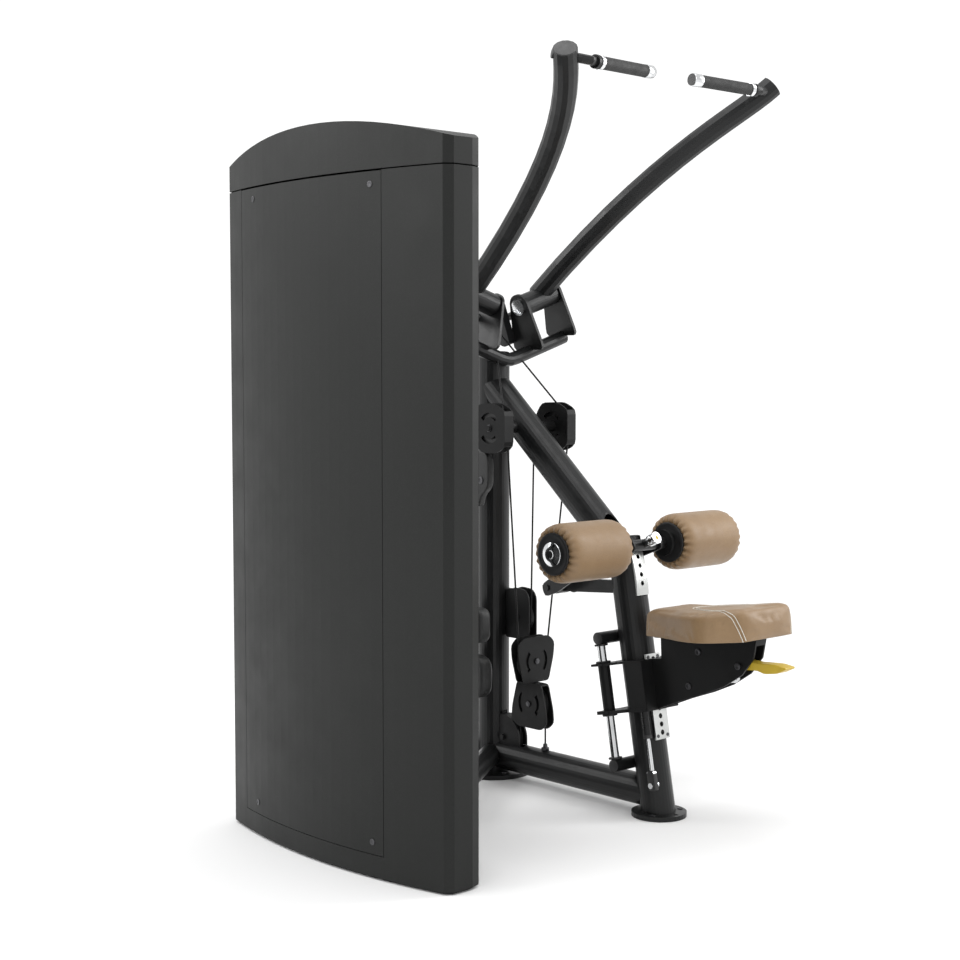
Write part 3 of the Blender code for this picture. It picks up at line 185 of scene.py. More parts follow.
def line(name, points, radius, sides=4):
    """A cable or rod along a smooth list of points, as a mesh with closed ends."""
    nothing_selected()
    path = bpy.data.curves.new(name, "CURVE")
    path.dimensions = "3D"
    path.bevel_depth, path.bevel_resolution = radius, sides
    path.use_fill_caps = True
    spline = path.splines.new("POLY")
    spline.points.add(len(points) - 1)
    for knot, place in zip(spline.points, points):
        knot.co = (*place, 1.0)
    piece = bpy.data.objects.new(name, path)
    bpy.context.scene.collection.objects.link(piece)
    only(piece)
    bpy.ops.object.convert(target="MESH")
    piece = bpy.context.object
    bpy.ops.object.mode_set(mode="EDIT")
    closed_up()
    smooth(piece, 50)
    return piece


def span(a, b, gap=0.02):
    """Evenly spaced points from a to b, so that a stretch between bodies stays round."""
    a, b = Vector(a), Vector(b)
    count = max(2, int((b - a).length / gap))
    return [a.lerp(b, i / count) for i in range(count + 1)]


def arc(centre, radius, u, w, start, end, steps=24):
    angles = [math.radians(start + (end - start) * i / steps) for i in range(steps + 1)]
    return [Vector(centre) + radius * (math.cos(a) * u + math.sin(a) * w) for a in angles]


# ------------------------------------------------------------------ finishes
def blank(name):
    material = bpy.data.materials.new(name)
    material.use_nodes = True
    tree = material.node_tree
    return material, tree, tree.nodes["Principled BSDF"]


def node(tree, kind, **values):
    made = tree.nodes.new("ShaderNode" + kind)
    for key, value in values.items():
        key = key.replace("_", " ")
        if key in made.inputs:
            made.inputs[key].default_value = value
        else:
            setattr(made, key.replace(" ", "_"), value)
    return made


def coords(tree, scale=(1, 1, 1)):
    place = node(tree, "TexCoord")
    mapping = node(tree, "Mapping")
    mapping.inputs["Scale"].default_value = scale
    tree.links.new(place.outputs["Object"], mapping.inputs["Vector"])
    return mapping.outputs["Vector"]


def noise(tree, where, scale, detail=3.0, roughness=0.5):
    made = node(tree, "TexNoise", Scale=scale, Detail=detail, Roughness=roughness)
    tree.links.new(where, made.inputs["Vector"])
    return made.outputs["Fac"]


def cells(tree, where, scale, feature="F1"):
    made = node(tree, "TexVoronoi", feature=feature)
    made.inputs["Scale"].default_value = scale
    tree.links.new(where, made.inputs["Vector"])
    return made.outputs["Distance"]


def ramp(tree, factor, stops):
    made = node(tree, "ValToRGB")
    band = made.color_ramp
    while len(band.elements) < len(stops):
        band.elements.new(0.5)
    for element, (place, colour) in zip(band.elements, stops):
        element.position = place
        element.color = (*colour, 1)
    tree.links.new(factor, made.inputs["Fac"])
    return made.outputs["Color"]


def spread(tree, factor, low, high, start=0.3, end=0.7):
    made = node(tree, "MapRange")
    for key, value in (("From Min", start), ("From Max", end), ("To Min", low), ("To Max", high)):
        made.inputs[key].default_value = value
    tree.links.new(factor, made.inputs["Value"])
    return made.outputs["Result"]


def layered(tree, a, b, how):
    """Two colours joined over each other: added or multiplied."""
    made = node(tree, "Mix", data_type="RGBA", blend_type=how)
    made.inputs["Factor"].default_value = 1.0
    tree.links.new(a, made.inputs[6])
    tree.links.new(b, made.inputs[7])
    return made.outputs[2]


def relief(tree, shader, height, strength, distance):
    made = node(tree, "Bump", Strength=strength, Distance=distance)
    tree.links.new(height, made.inputs["Height"])
    tree.links.new(made.outputs["Normal"], shader.inputs["Normal"])


def added(tree, a, b, share):
    """Layer a plus a share of layer b."""
    made = node(tree, "Math", operation="MULTIPLY_ADD")
    tree.links.new(b, made.inputs[0])
    made.inputs[1].default_value = share
    tree.links.new(a, made.inputs[2])
    return made.outputs["Value"]


def powder_coat(name, dark, light, gloss, grain, depth, speck=0.0, broad=3.0, shine=0.30):
    """Baked powder paint: slow tone changes, an orange-peel skin and fine specks."""
    material, tree, shader = blank(name)
    where = coords(tree)
    tone = ramp(tree, noise(tree, where, broad, 4, 0.55), [(0.30, dark), (0.72, light)])
    fine = noise(tree, where, grain, 2, 0.6)
    if speck:
        dots = ramp(tree, noise(tree, where, grain * 1.6, 1, 0.4),
                    [(0.58, (0, 0, 0)), (0.70, (speck, speck, speck))])
        tone = layered(tree, tone, dots, "ADD")
    tree.links.new(tone, shader.inputs["Base Color"])
    tree.links.new(spread(tree, noise(tree, where, broad * 9, 3), *gloss),
                   shader.inputs["Roughness"])
    shader.inputs["Specular IOR Level"].default_value = shine
    relief(tree, shader, fine, 0.35, depth)
    return material


def bare_metal(name, colour, gloss, stretch=(1, 1, 1), grain=220.0, depth=0.00006):
    """Polished or brushed steel: directional scratches over a slow smudge."""
    material, tree, shader = blank(name)
    shader.inputs["Metallic"].default_value = 1.0
    scratch = noise(tree, coords(tree, stretch), grain, 4, 0.7)
    smudge = noise(tree, coords(tree), 14.0, 3)
    darker = tuple(c * 0.82 for c in colour)
    tree.links.new(ramp(tree, smudge, [(0.3, darker), (0.7, colour)]),
                   shader.inputs["Base Color"])
    tree.links.new(spread(tree, added(tree, smudge, scratch, 0.5), *gloss, 0.5, 1.0),
                   shader.inputs["Roughness"])
    relief(tree, shader, scratch, 0.25, depth)
    return material


def moulded(name, dark, light, gloss, grain=900.0, depth=0.00008):
    """Moulded plastic or rubber with a fine spark texture."""
    material, tree, shader = blank(name)
    where = coords(tree)
    tree.links.new(ramp(tree, noise(tree, where, 18.0, 3), [(0.3, dark), (0.7, light)]),
                   shader.inputs["Base Color"])
    pits = cells(tree, where, grain)
    tree.links.new(spread(tree, noise(tree, where, 60.0, 2), *gloss), shader.inputs["Roughness"])
    relief(tree, shader, pits, 0.3, depth)
    return material


def upholstery(name):
    """Tan leather: a pebbled grain with fine creases darkened by painted shade, softly uneven dye
    and a dull wax shine.
    """
    material, tree, shader = blank(name)
    where = coords(tree)
    dye = ramp(tree, noise(tree, where, 7.0, 5, 0.6),
               [(0.28, (0.228, 0.138, 0.062)), (0.52, (0.264, 0.166, 0.080)),
                (0.76, (0.302, 0.194, 0.097))])
    creases = cells(tree, where, 520.0, "DISTANCE_TO_EDGE")
    pebble = cells(tree, where, 640.0)
    # painted shade: the dye is multiplied darker along the crease lines of the grain, where shade
    # would fall
    crease_shade_painted = ramp(tree, creases, [(0.0, (0.72, 0.70, 0.68)), (0.10, (1, 1, 1))])
    tree.links.new(layered(tree, dye, crease_shade_painted, "MULTIPLY"), shader.inputs["Base Color"])
    tree.links.new(spread(tree, noise(tree, where, 40.0, 3), 0.42, 0.56),
                   shader.inputs["Roughness"])
    shader.inputs["Sheen Weight"].default_value = 0.12
    shader.inputs["Sheen Roughness"].default_value = 0.5
    wrinkle = noise(tree, where, 46.0, 5, 0.62)
    relief(tree, shader, added(tree, wrinkle, pebble, 0.35), 0.26, 0.0006)
    return material


def twisted(name, dark, light, pitch, depth):
    """Wire rope under a thin coat, or spun thread: bands that wind round the length, with their
    low grooves darkened as painted shade.
    """
    material, tree, shader = blank(name)
    bands = node(tree, "TexWave", wave_type="BANDS", bands_direction="DIAGONAL", Scale=pitch,
                 Distortion=0.4, Detail=2.0)
    tree.links.new(coords(tree), bands.inputs["Vector"])
    # the bands are the twist of the strands; the ramp darkens the low part of each band, the part
    # the bump sinks, which is painted shade in the grooves
    tree.links.new(ramp(tree, bands.outputs["Fac"], [(0.2, dark), (0.8, light)]),
                   shader.inputs["Base Color"])
    tree.links.new(spread(tree, noise(tree, coords(tree), 90.0), 0.38, 0.55),
                   shader.inputs["Roughness"])
    shader.inputs["Specular IOR Level"].default_value = 0.22
    relief(tree, shader, bands.outputs["Fac"], 0.4, depth)
    return material


frame_paint = powder_coat("frame_paint", (0.0075, 0.0078, 0.0081), (0.0105, 0.0108, 0.0111),
                          (0.30, 0.40), 900.0, 0.00005, 0.002)
plate_paint = powder_coat("plate_paint", (0.0062, 0.0063, 0.0065), (0.0095, 0.0097, 0.0099),
                          (0.40, 0.52), 950.0, 0.00006, 0.002, 3.0, 0.20)
tower_paint = powder_coat("tower_paint", (0.0112, 0.0118, 0.0112), (0.0142, 0.0150, 0.0142),
                          (0.40, 0.50), 620.0, 0.00025, 0.010, 1.2, 0.20)
shroud_paint = powder_coat("shroud_paint", (0.0140, 0.0142, 0.0142), (0.0190, 0.0193, 0.0193),
                           (0.52, 0.64), 800.0, 0.00040, 0.010)
cast_iron = powder_coat("cast_iron", (0.0100, 0.0100, 0.0105), (0.0200, 0.0200, 0.0205),
                        (0.55, 0.72), 420.0, 0.00060, 0.010, 8.0)
chrome = bare_metal("chrome", (0.80, 0.81, 0.82), (0.07, 0.16))
rod_chrome = bare_metal("rod_chrome", (0.72, 0.73, 0.74), (0.10, 0.22), (6, 6, 0.4), 260.0)
zinc = bare_metal("zinc", (0.60, 0.61, 0.60), (0.28, 0.42), (0.3, 5, 5), 300.0, 0.0001)
black_oxide = bare_metal("black_oxide", (0.10, 0.10, 0.105), (0.30, 0.45))
grip_rubber = moulded("grip_rubber", (0.0090, 0.0090, 0.0090), (0.0150, 0.0150, 0.0150),
                      (0.55, 0.70), 1400.0, 0.00018)
black_plastic = moulded("black_plastic", (0.0120, 0.0120, 0.0125), (0.0180, 0.0180, 0.0185),
                        (0.38, 0.50))
cover_plastic = moulded("cover_plastic", (0.0150, 0.0154, 0.0154), (0.0200, 0.0204, 0.0204),
                        (0.45, 0.58))
pulley_nylon = moulded("pulley_nylon", (0.0070, 0.0070, 0.0075), (0.0120, 0.0120, 0.0125),
                       (0.40, 0.55))
spring_paint = powder_coat("spring_paint", (0.0060, 0.0060, 0.0062), (0.0100, 0.0100, 0.0104),
                           (0.22, 0.32), 1200.0, 0.0001)
yellow_plastic = moulded("yellow_plastic", (0.500, 0.345, 0.028), (0.600, 0.430, 0.045),
                         (0.34, 0.48))
leather = upholstery("leather")
cable_coat = twisted("cable_coat", (0.0060, 0.0060, 0.0062), (0.0120, 0.0120, 0.0125), 160.0,
                     0.0002)
thread = twisted("thread", (0.62, 0.60, 0.54), (0.82, 0.80, 0.74), 900.0, 0.0001)

node_finish = {
    frame_paint: ["main_upright", "diagonal_brace", "seat_post", "floor_tube", "pivot_bracket",
                  "pivot_hub_left", "pivot_hub_right", "arm_tube_left", "arm_tube_right",
                  "handle_bar_left", "handle_bar_right", "cable_horn_left", "cable_horn_right",
                  "tower_link", "pad_arm", "top_frame"],
    plate_paint: ["diverter_housing_left", "diverter_housing_right", "block_upper_housing",
                  "block_lower_housing", "base_pulley_bracket", "guide_pulley_bracket",
                  "seat_carriage"],
    tower_paint: ["tower_shell", "access_panel", "tower_cap"],
    shroud_paint: ["inner_shroud"],
    black_plastic: ["tower_base"],
    cast_iron: ["lifted_plates", "resting_plates"],
    chrome: ["pivot_bolt_left", "pivot_bolt_right", "pad_pop_pin", "seat_latch_pin",
             "selector_pin"],
    rod_chrome: ["seat_guide_rod_left", "seat_guide_rod_right", "stack_rod_front",
                 "stack_rod_rear", "gas_spring_rod"],
    zinc: ["seat_hole_plate", "pad_arc_plate"],
    grip_rubber: ["grip_left", "grip_right"],
    spring_paint: ["gas_spring_body"],
    pulley_nylon: ["base_pulley", "block_upper_pulley", "block_lower_pulley", "corner_pulley",
                   "diverter_pulley_left", "diverter_pulley_right", "guide_pulley",
                   "tower_foot_pulley", "tower_top_pulley"],
    yellow_plastic: ["seat_lever"],
    leather: ["seat_cushion", "pad_roller_left", "pad_roller_right"],
    cable_coat: ["equaliser_cable", "lifting_cable"],
}
for finish, names in node_finish.items():
    for name in names:
        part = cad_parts[name]
        for place in part.material_slots:
            place.material = finish
        if not part.material_slots:
            part.data.materials.append(finish)


def fitted(piece, finish, body):
    """Gives a piece its paint and the body that it moves with."""
    piece.data.materials.clear()
    piece.data.materials.append(finish)
    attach(piece, body)
    return piece


# ------------------------------------------------------------------ puffing a cushion
def puffed(piece, pressure, cap, held, frames=20):
    """Fills a closed skin with air, keeps the held points, and limits how far it swells."""
    before = [v.co.copy() for v in piece.data.vertices]
    pins = piece.vertex_groups.new(name="held")
    pins.add([v.index for v in piece.data.vertices if held(v.co)], 1.0, "REPLACE")
    only(piece)
    cloth = piece.modifiers.new("air", "CLOTH")
    settings = cloth.settings
    settings.quality, settings.mass = 5, 0.3
    settings.tension_stiffness = settings.compression_stiffness = 18
    settings.shear_stiffness, settings.bending_stiffness = 8, 0.6
    settings.use_pressure, settings.uniform_pressure_force = True, pressure
    settings.effector_weights.gravity = 0
    settings.vertex_group_mass = "held"
    cloth.collision_settings.use_collision = False
    cloth.point_cache.frame_start, cloth.point_cache.frame_end = 1, frames
    for number in range(1, frames + 1):
        bpy.context.scene.frame_set(number)
    bpy.ops.object.modifier_apply(modifier=cloth.name)
    bpy.context.scene.frame_set(1)
    for vertex, rest in zip(piece.data.vertices, before):
        move = vertex.co - rest
        if move.length > cap:
            vertex.co = rest + move * (cap / move.length)
    piece.vertex_groups.clear()


def finer(piece):
    only(piece)
    step = piece.modifiers.new("finer", "SUBSURF")
    step.levels = step.render_levels = 1
    bpy.ops.object.modifier_apply(modifier=step.name)


def ease(t):
    t = max(0.0, min(1.0, t))
    return t * t * (3 - 2 * t)


def along_table(table, at):
    for (a0, b0), (a1, b1) in zip(table, table[1:]):
        if at <= a1:
            t = (at - a0) / (a1 - a0) if a1 > a0 else 0.0
            return b0 + (b1 - b0) * max(0.0, min(1.0, t))
    return table[-1][1]


# ------------------------------------------------------------------ seat cushion
SEAT_TILT = math.atan2(0.027, 0.355)
SEAT_BASE = Vector((0, -0.6265, 0.4760))
SEAT_BACK = Vector((0, -math.cos(SEAT_TILT), math.sin(SEAT_TILT)))
SEAT_UP = Vector((0, math.sin(SEAT_TILT), math.cos(SEAT_TILT)))
seat_place = Matrix((X, SEAT_BACK, SEAT_UP)).transposed().to_4x4()
seat_place.translation = SEAT_BASE
seat_half = [(0.096, 0.353), (0.150, 0.281), (0.156, 0.245), (0.144, 0.190), (0.110, 0.120),
             (0.088, 0.060), (0.078, 0.016)]
seat_plan = rounded(seat_half + [(-x, b) for x, b in reversed(seat_half)], 0.022, 4)
seat_top = [(0.0, 0.057), (0.05, 0.0625), (0.13, 0.062), (0.24, 0.065), (0.31, 0.071),
            (0.36, 0.0735)]
SEAT_DEEP = 0.060

seat = sheet_cut("seat_pad", seat_plan, SEAT_DEEP, Matrix.Identity(4))
only(seat)
bpy.ops.object.mode_set(mode="EDIT")
bpy.ops.mesh.select_all(action="DESELECT")
bpy.ops.object.mode_set(mode="OBJECT")
for edge in seat.data.edges:
    ends = [seat.data.vertices[i].co for i in edge.vertices]
    edge.select = all(abs(p.z - SEAT_DEEP) < 1e-5 for p in ends)
bpy.ops.object.mode_set(mode="EDIT")
bpy.ops.mesh.select_mode(type="EDGE")
bpy.ops.mesh.bevel(offset=0.0125, segments=4, profile=0.5, affect="EDGES")
bpy.ops.mesh.select_all(action="SELECT")
bpy.ops.mesh.select_mode(type="VERT")
bpy.ops.object.mode_set(mode="OBJECT")
only(seat)
seat.data.remesh_voxel_size = 0.005
bpy.ops.object.voxel_remesh()
for vertex in seat.data.vertices:
    x, back, up = vertex.co
    crown = 0.0030 * max(0.0, 1 - (x / 0.13) ** 2) * ease(up / SEAT_DEEP)
    dish = 0.0030 * math.exp(-((back - 0.12) / 0.06) ** 2) * ease(up / SEAT_DEEP)
    vertex.co.z = up * along_table(seat_top, back) / SEAT_DEEP + crown - dish * 0.3
puffed(seat, 4.0, 0.004, lambda p: p.z < 0.004)
finer(seat)


def on_seat(x, back, height=None):
    """A point on the cushion's skin: its top, or its side at a height."""
    if height is None:
        hit, place, normal, _ = seat.ray_cast(Vector((x, back, 0.2)), Vector((0, 0, -1)))
    else:
        inward = Vector((0 - x, 0.20 - back, 0)).normalized()
        start = Vector((x, back, height)) - inward * 0.1
        hit, place, normal, _ = seat.ray_cast(start, inward)
    return (place.copy(), normal.copy()) if hit else None


def seam_half(side):
    """One half of the cross seam: over the top from the middle, then down the rear corner."""
    curve = [(0.0, 0.128), (0.022, 0.138), (0.045, 0.166), (0.070, 0.212), (0.092, 0.264),
             (0.106, 0.305), (0.110, 0.318)]
    found = [on_seat(side * x, back) for x, back in curve]
    for height, x, back in ((0.062, 0.1100, 0.3330), (0.054, 0.1075, 0.3370),
                            (0.042, 0.1040, 0.3410), (0.029, 0.1000, 0.3450),
                            (0.016, 0.0965, 0.3490), (0.004, 0.0930, 0.3520)):
        found.append(on_seat(side * x, back, height))
    return [f for f in found if f]


def resampled(points, pitch):
    """Evenly spaced (place, normal, direction) along a list of (place, normal)."""
    made, carry = [], 0.0
    for (a, n0), (b, n1) in zip(points, points[1:]):
        length = (b - a).length
        at = carry
        while at < length:
            t = at / length
            made.append((a.lerp(b, t), n0.lerp(n1, t).normalized(), (b - a).normalized()))
            at += pitch
        carry = at - length
    return made


def softened(points, rounds):
    """Rounds the corners of a path of (place, normal)."""
    for _ in range(rounds):
        cut = [points[0]]
        for (a, n0), (b, n1) in zip(points, points[1:]):
            cut.append((a.lerp(b, 0.25), n0.lerp(n1, 0.25)))
            cut.append((a.lerp(b, 0.75), n0.lerp(n1, 0.75)))
        cut.append(points[-1])
        points = cut
    return points


seam = softened([p for p in reversed(seam_half(-1))] + seam_half(1)[1:], 2)
GROOVE_WIDE, GROOVE_DEEP = 0.006, 0.0018
groove = resampled(seam, 0.0015)
tree = kdtree.KDTree(len(groove))
for number, (place, _, _) in enumerate(groove):
    tree.insert(place, number)
tree.balance()
for vertex in seat.data.vertices:
    _, number, gap = tree.find(vertex.co)
    if gap < GROOVE_WIDE:
        vertex.co -= groove[number][1] * GROOVE_DEEP * (1 - ease(gap / GROOVE_WIDE))

bpy.ops.mesh.primitive_cube_add(size=1)
stitch = named("stitch")
bpy.ops.object.mode_set(mode="EDIT")
bpy.ops.mesh.select_all(action="SELECT")
bpy.ops.mesh.subdivide(number_cuts=1, smoothness=0.9)
bpy.ops.mesh.normals_make_consistent(inside=False)
bpy.ops.object.mode_set(mode="OBJECT")
STITCH_PITCH, STITCH_ROW = 0.0052, 0.0042
stitches = bmesh.new()
for row in (-1, 1):
    for place, normal, ahead in resampled(seam, STITCH_PITCH):
        aside = normal.cross(ahead).normalized() * STITCH_ROW * row
        nearest = seat.closest_point_on_mesh(place + aside)
        spot, up = nearest[1], nearest[2]
        across = up.cross(ahead).normalized()
        turn = Matrix((ahead * 0.0038, across * 0.0013, up * 0.0012)).transposed().to_4x4()
        turn.translation = spot + up * 0.0003
        twin = stitch.data.copy()
        twin.transform(turn)
        stitches.from_mesh(twin)
        bpy.data.meshes.remove(twin)
bpy.data.objects.remove(stitch, do_unlink=True)
stitching_mesh = bpy.data.meshes.new("seat_stitching")
stitches.to_mesh(stitching_mesh)
stitches.free()
seat_stitching = bpy.data.objects.new("seat_stitching", stitching_mesh)
bpy.context.scene.collection.objects.link(seat_stitching)
seat_stitching.data.transform(seat_place)
smooth(seat_stitching, 60)
seat.data.transform(seat_place)
smooth(seat, 180)
fitted(seat, leather, "seat")
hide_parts("seat_cushion")
fitted(seat_stitching, thread, "seat")

base_half = [(x * 0.93, 0.012 + b * 0.94) for x, b in seat_half]
base_plan = rounded(base_half + [(-x, b) for x, b in reversed(base_half)], 0.02, 3)
BOARD_THICK = 0.0012
seat_board = sheet_cut("seat_board", base_plan, BOARD_THICK,
                       seat_place @ Matrix.Translation((0, 0, -BOARD_THICK)))
fitted(seat_board, black_plastic, "seat")

# ------------------------------------------------------------------ thigh rollers
PAD_PIVOT = Vector((0, -0.270, 0.561))
PAD_LEAN = math.radians(24.7)
pad_dir = Vector((0, -math.cos(PAD_LEAN), math.sin(PAD_LEAN)))
PAD_REACH = 0.3235
pad_axis = PAD_PIVOT + pad_dir * PAD_REACH
PAD_IN, PAD_OUT, PAD_R = 0.101, 0.324, 0.0745
roller_profile = [(0.048, PAD_IN + 0.009), (0.051, PAD_IN + 0.004), (0.055, PAD_IN + 0.0015),
                  (0.060, PAD_IN + 0.001), (0.065, PAD_IN + 0.004), (0.069, PAD_IN + 0.009),
                  (0.0720, PAD_IN + 0.016), (0.0737, PAD_IN + 0.024), (0.0744, PAD_IN + 0.033)]
middle = PAD_IN / 2 + PAD_OUT / 2
belly = [(PAD_R, PAD_IN + 0.033 + (PAD_OUT - PAD_IN - 0.066) * i / 16) for i in range(1, 16)]
roller_profile += belly + [(r, 2 * middle - h) for r, h in reversed(roller_profile)]
roller = lathe("thigh_roller_right", roller_profile, (0, 0, 0), (0, 0, 1), 120, 180)
PLEATS, PLEAT_DEEP = 22, 0.0030
for vertex in roller.data.vertices:
    x, y, h = vertex.co
    radius = math.hypot(x, y)
    turn = math.atan2(y, x)
    edge_gap = min(h - PAD_IN, PAD_OUT - h)
    share = ease((0.030 - edge_gap) / 0.026) * ease((radius - 0.046) / 0.008)
    share *= ease((0.0740 - radius) / 0.008)
    uneven = 1 + 0.35 * math.sin(turn * 5 + 1.3) + 0.25 * math.sin(turn * 11 + 0.4)
    wave = math.cos(turn * PLEATS + 0.5 * math.sin(turn * 3)) * uneven
    fold = PLEAT_DEEP * wave * share
    outward = Vector((x, y, 0)).normalized()
    endward = Vector((0, 0, -1 if h < middle else 1))
    lean = ease(edge_gap / 0.016)
    vertex.co += (outward * lean + endward * (1 - lean)) * (fold - 0.0012 * share)
puffed(roller, 3.0, 0.0016, lambda p: min(p.z - PAD_IN, PAD_OUT - p.z) < 0.014)
finer(roller)
smooth(roller, 180)
roller.data.transform(aim((0, pad_axis.y, pad_axis.z), X))
fitted(roller, leather, "roller_right")
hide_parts("pad_roller_right")
roller_left = mirrored(roller, "thigh_roller_left")
fitted(roller_left, leather, "roller_left")
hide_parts("pad_roller_left")

cap_profile = [(0.0135, -0.004), (0.0135, 0.0035), (0.0200, 0.0035), (0.0260, 0.0012),
               (0.0400, 0.0008), (0.0460, 0.0016), (0.0500, 0.0022), (0.0524, 0.0014),
               (0.0530, -0.0010), (0.0505, -0.0040), (0.0480, -0.0100), (0.0135, -0.0100),
               (0.0135, -0.004)]
washer_profile = [(0.0165, 0.0000), (0.0300, 0.0000), (0.0304, 0.0008), (0.0298, 0.0020),
                  (0.0230, 0.0052), (0.0182, 0.0076), (0.0165, 0.0082), (0.0110, 0.0082),
                  (0.0100, 0.0076), (0.0100, 0.0071), (0.0165, 0.0071), (0.0165, 0.0000)]
stop_profile = [(0.0128, 0.0), (0.0330, 0.0), (0.0345, 0.0015), (0.0345, 0.0045),
                (0.0330, 0.0060), (0.0128, 0.0060), (0.0128, 0.0)]
for side, tag in SIDES:
    out = X * side
    for label, at, way in (("outer", PAD_OUT + 0.0005, 1), ("inner", PAD_IN - 0.0005, -1)):
        cap = lathe("roller_cap_{}_{}".format(label, tag), cap_profile,
                    (at * side, pad_axis.y, pad_axis.z), out * way, 56)
        fitted(cap, black_plastic, "roller_" + tag)
    washer = lathe("roller_washer_" + tag, washer_profile,
                   (side * (PAD_OUT + 0.0042), pad_axis.y, pad_axis.z), out, 48)
    fitted(washer, chrome, "thigh_pad_arm")

knob_end = PAD_PIVOT + pad_dir * (PAD_REACH + 0.056)
knob_dot = lathe("pop_pin_dot", [(0.0, 0.0012), (0.0045, 0.0011), (0.0060, 0.0006),
                                 (0.0062, -0.0004), (0.0, -0.0004)], knob_end, pad_dir, 32)
fitted(knob_dot, yellow_plastic, "pad_pin")
knob_shell = lathe("pop_pin_knob", [(0.0060, 0.0), (0.0128, 0.0), (0.0150, -0.0012),
                                    (0.0156, -0.0035), (0.0156, -0.0090), (0.0148, -0.0105),
                                    (0.0148, -0.0120), (0.0156, -0.0135), (0.0156, -0.0225),
                                    (0.0140, -0.0250), (0.0060, -0.0250), (0.0060, 0.0)],
                   knob_end + pad_dir * 0.0003, pad_dir, 48)
fitted(knob_shell, chrome, "pad_pin")

# ------------------------------------------------------------------ the seat post's own frame
POST_LEAN = math.radians(10.4)
post_foot = Vector((0, -0.629, 0))
post_up = Vector((0, math.sin(POST_LEAN), math.cos(POST_LEAN)))
post_back = Vector((0, -math.cos(POST_LEAN), math.sin(POST_LEAN)))


def on_post(x, behind, along):
    return post_foot + X * x + post_back * behind + post_up * along


# ------------------------------------------------------------------ screws, made once
nothing_selected()
socket_screw = lathe("socket_screw", [(0.0, 0.0), (0.0098, 0.0), (0.0100, 0.0004),
                                      (0.0100, 0.0044), (0.0090, 0.0054), (0.0, 0.0054)],
                     steps=36)
only(socket_screw)
bpy.ops.mesh.primitive_cylinder_add(vertices=6, radius=0.0056, depth=0.006,
                                    location=(0, 0, 0.0058))
hex_key = named("hex_key")
only(socket_screw)
sink = socket_screw.modifiers.new("sink", "BOOLEAN")
sink.operation, sink.object, sink.solver = "DIFFERENCE", hex_key, "EXACT"
bpy.ops.object.modifier_apply(modifier="sink")
bpy.data.objects.remove(hex_key, do_unlink=True)
rounded_edges(socket_screw, 0.0004, 2, 40)
smooth(socket_screw)

nothing_selected()
bpy.ops.mesh.primitive_cylinder_add(vertices=6, radius=0.0100, depth=0.007,
                                    location=(0, 0, 0.0035))
hex_nut = named("hex_nut")
bpy.ops.object.transform_apply(location=True)
bpy.ops.object.mode_set(mode="EDIT")
bpy.ops.mesh.select_all(action="SELECT")
bpy.ops.mesh.bevel(offset=0.0007, segments=2, affect="EDGES")
bpy.ops.object.mode_set(mode="OBJECT")
stud = lathe("hex_nut_stud", [(0.0, 0.0), (0.0052, 0.0), (0.0052, 0.0085), (0.0044, 0.0096),
                              (0.0, 0.0096)], steps=24)
nothing_selected()
stud.select_set(True)
hex_nut.select_set(True)
bpy.context.view_layer.objects.active = hex_nut
bpy.ops.object.join()
smooth(hex_nut)


def screwed(master, name, place, out, size, finish, body, squash=1.0):
    """Sets a copy of a screw or nut on a surface."""
    turn = aim(place, out) @ Matrix.Diagonal((size, size, size * squash, 1))
    return fitted(copy_of(master, name, turn), finish, body)


def skin_of(node_name, start, way):
    """Where a straight line meets a CAD node's surface."""
    hit, place, normal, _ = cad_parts[node_name].ray_cast(Vector(start), Vector(way))
    return (place, normal) if hit else (None, None)


def arm_pivot(side):
    """An arm pivot: its centre, and the way outward along the bolt and down across it."""
    tilt = math.radians(18.0)
    out = Vector((math.cos(tilt) * side, 0, -math.sin(tilt)))
    down = Vector((-math.sin(tilt) * side, 0, -math.cos(tilt)))
    return Vector((0.143 * side, -0.055, 1.355)), out, down


def on_face(node_name, centre, out, reach, lift):
    """The point on a node's face straight out from a centre, felt for a little above it."""
    place, _ = skin_of(node_name, centre + out * reach + Z * lift, -out)
    return centre + out * (place - centre).dot(out) if place else None


# pivot bolts: a dark hex socket in each polished washer
for side, tag in SIDES:
    pivot, outward, _ = arm_pivot(side)
    for label, way in (("outer", outward), ("inner", -outward)):
        spot = on_face("pivot_bolt_" + tag, pivot, way, 0.2, 0.0001)
        if spot:
            screwed(socket_screw, "pivot_{}_socket_{}".format(label, tag), spot, way, 0.95,
                    black_oxide, "frame", 0.5)

# tower panel screws
for label, y, z in (("front", -0.093, 1.558), ("rear", -0.552, 1.556),
                    ("low_front", -0.093, 0.085), ("low_rear", -0.552, 0.085)):
    place, normal = skin_of("access_panel", (-1.2, y, z), (1, 0, 0))
    if place:
        screwed(socket_screw, "panel_screw_" + label, place, normal, 0.72, black_oxide, "frame",
                0.35)

# carriage bolts
for side, tag in SIDES:
    for label, y, z in (("front", -0.772, 0.446), ("rear", -0.901, 0.427),
                        ("low", -0.742, 0.355)):
        place, normal = skin_of("seat_carriage", (0.3 * side, y, z), (-side, 0, 0))
        if place:
            screwed(socket_screw, "carriage_bolt_{}_{}".format(label, tag), place, normal, 0.85,
                    black_oxide, "seat", 0.6)

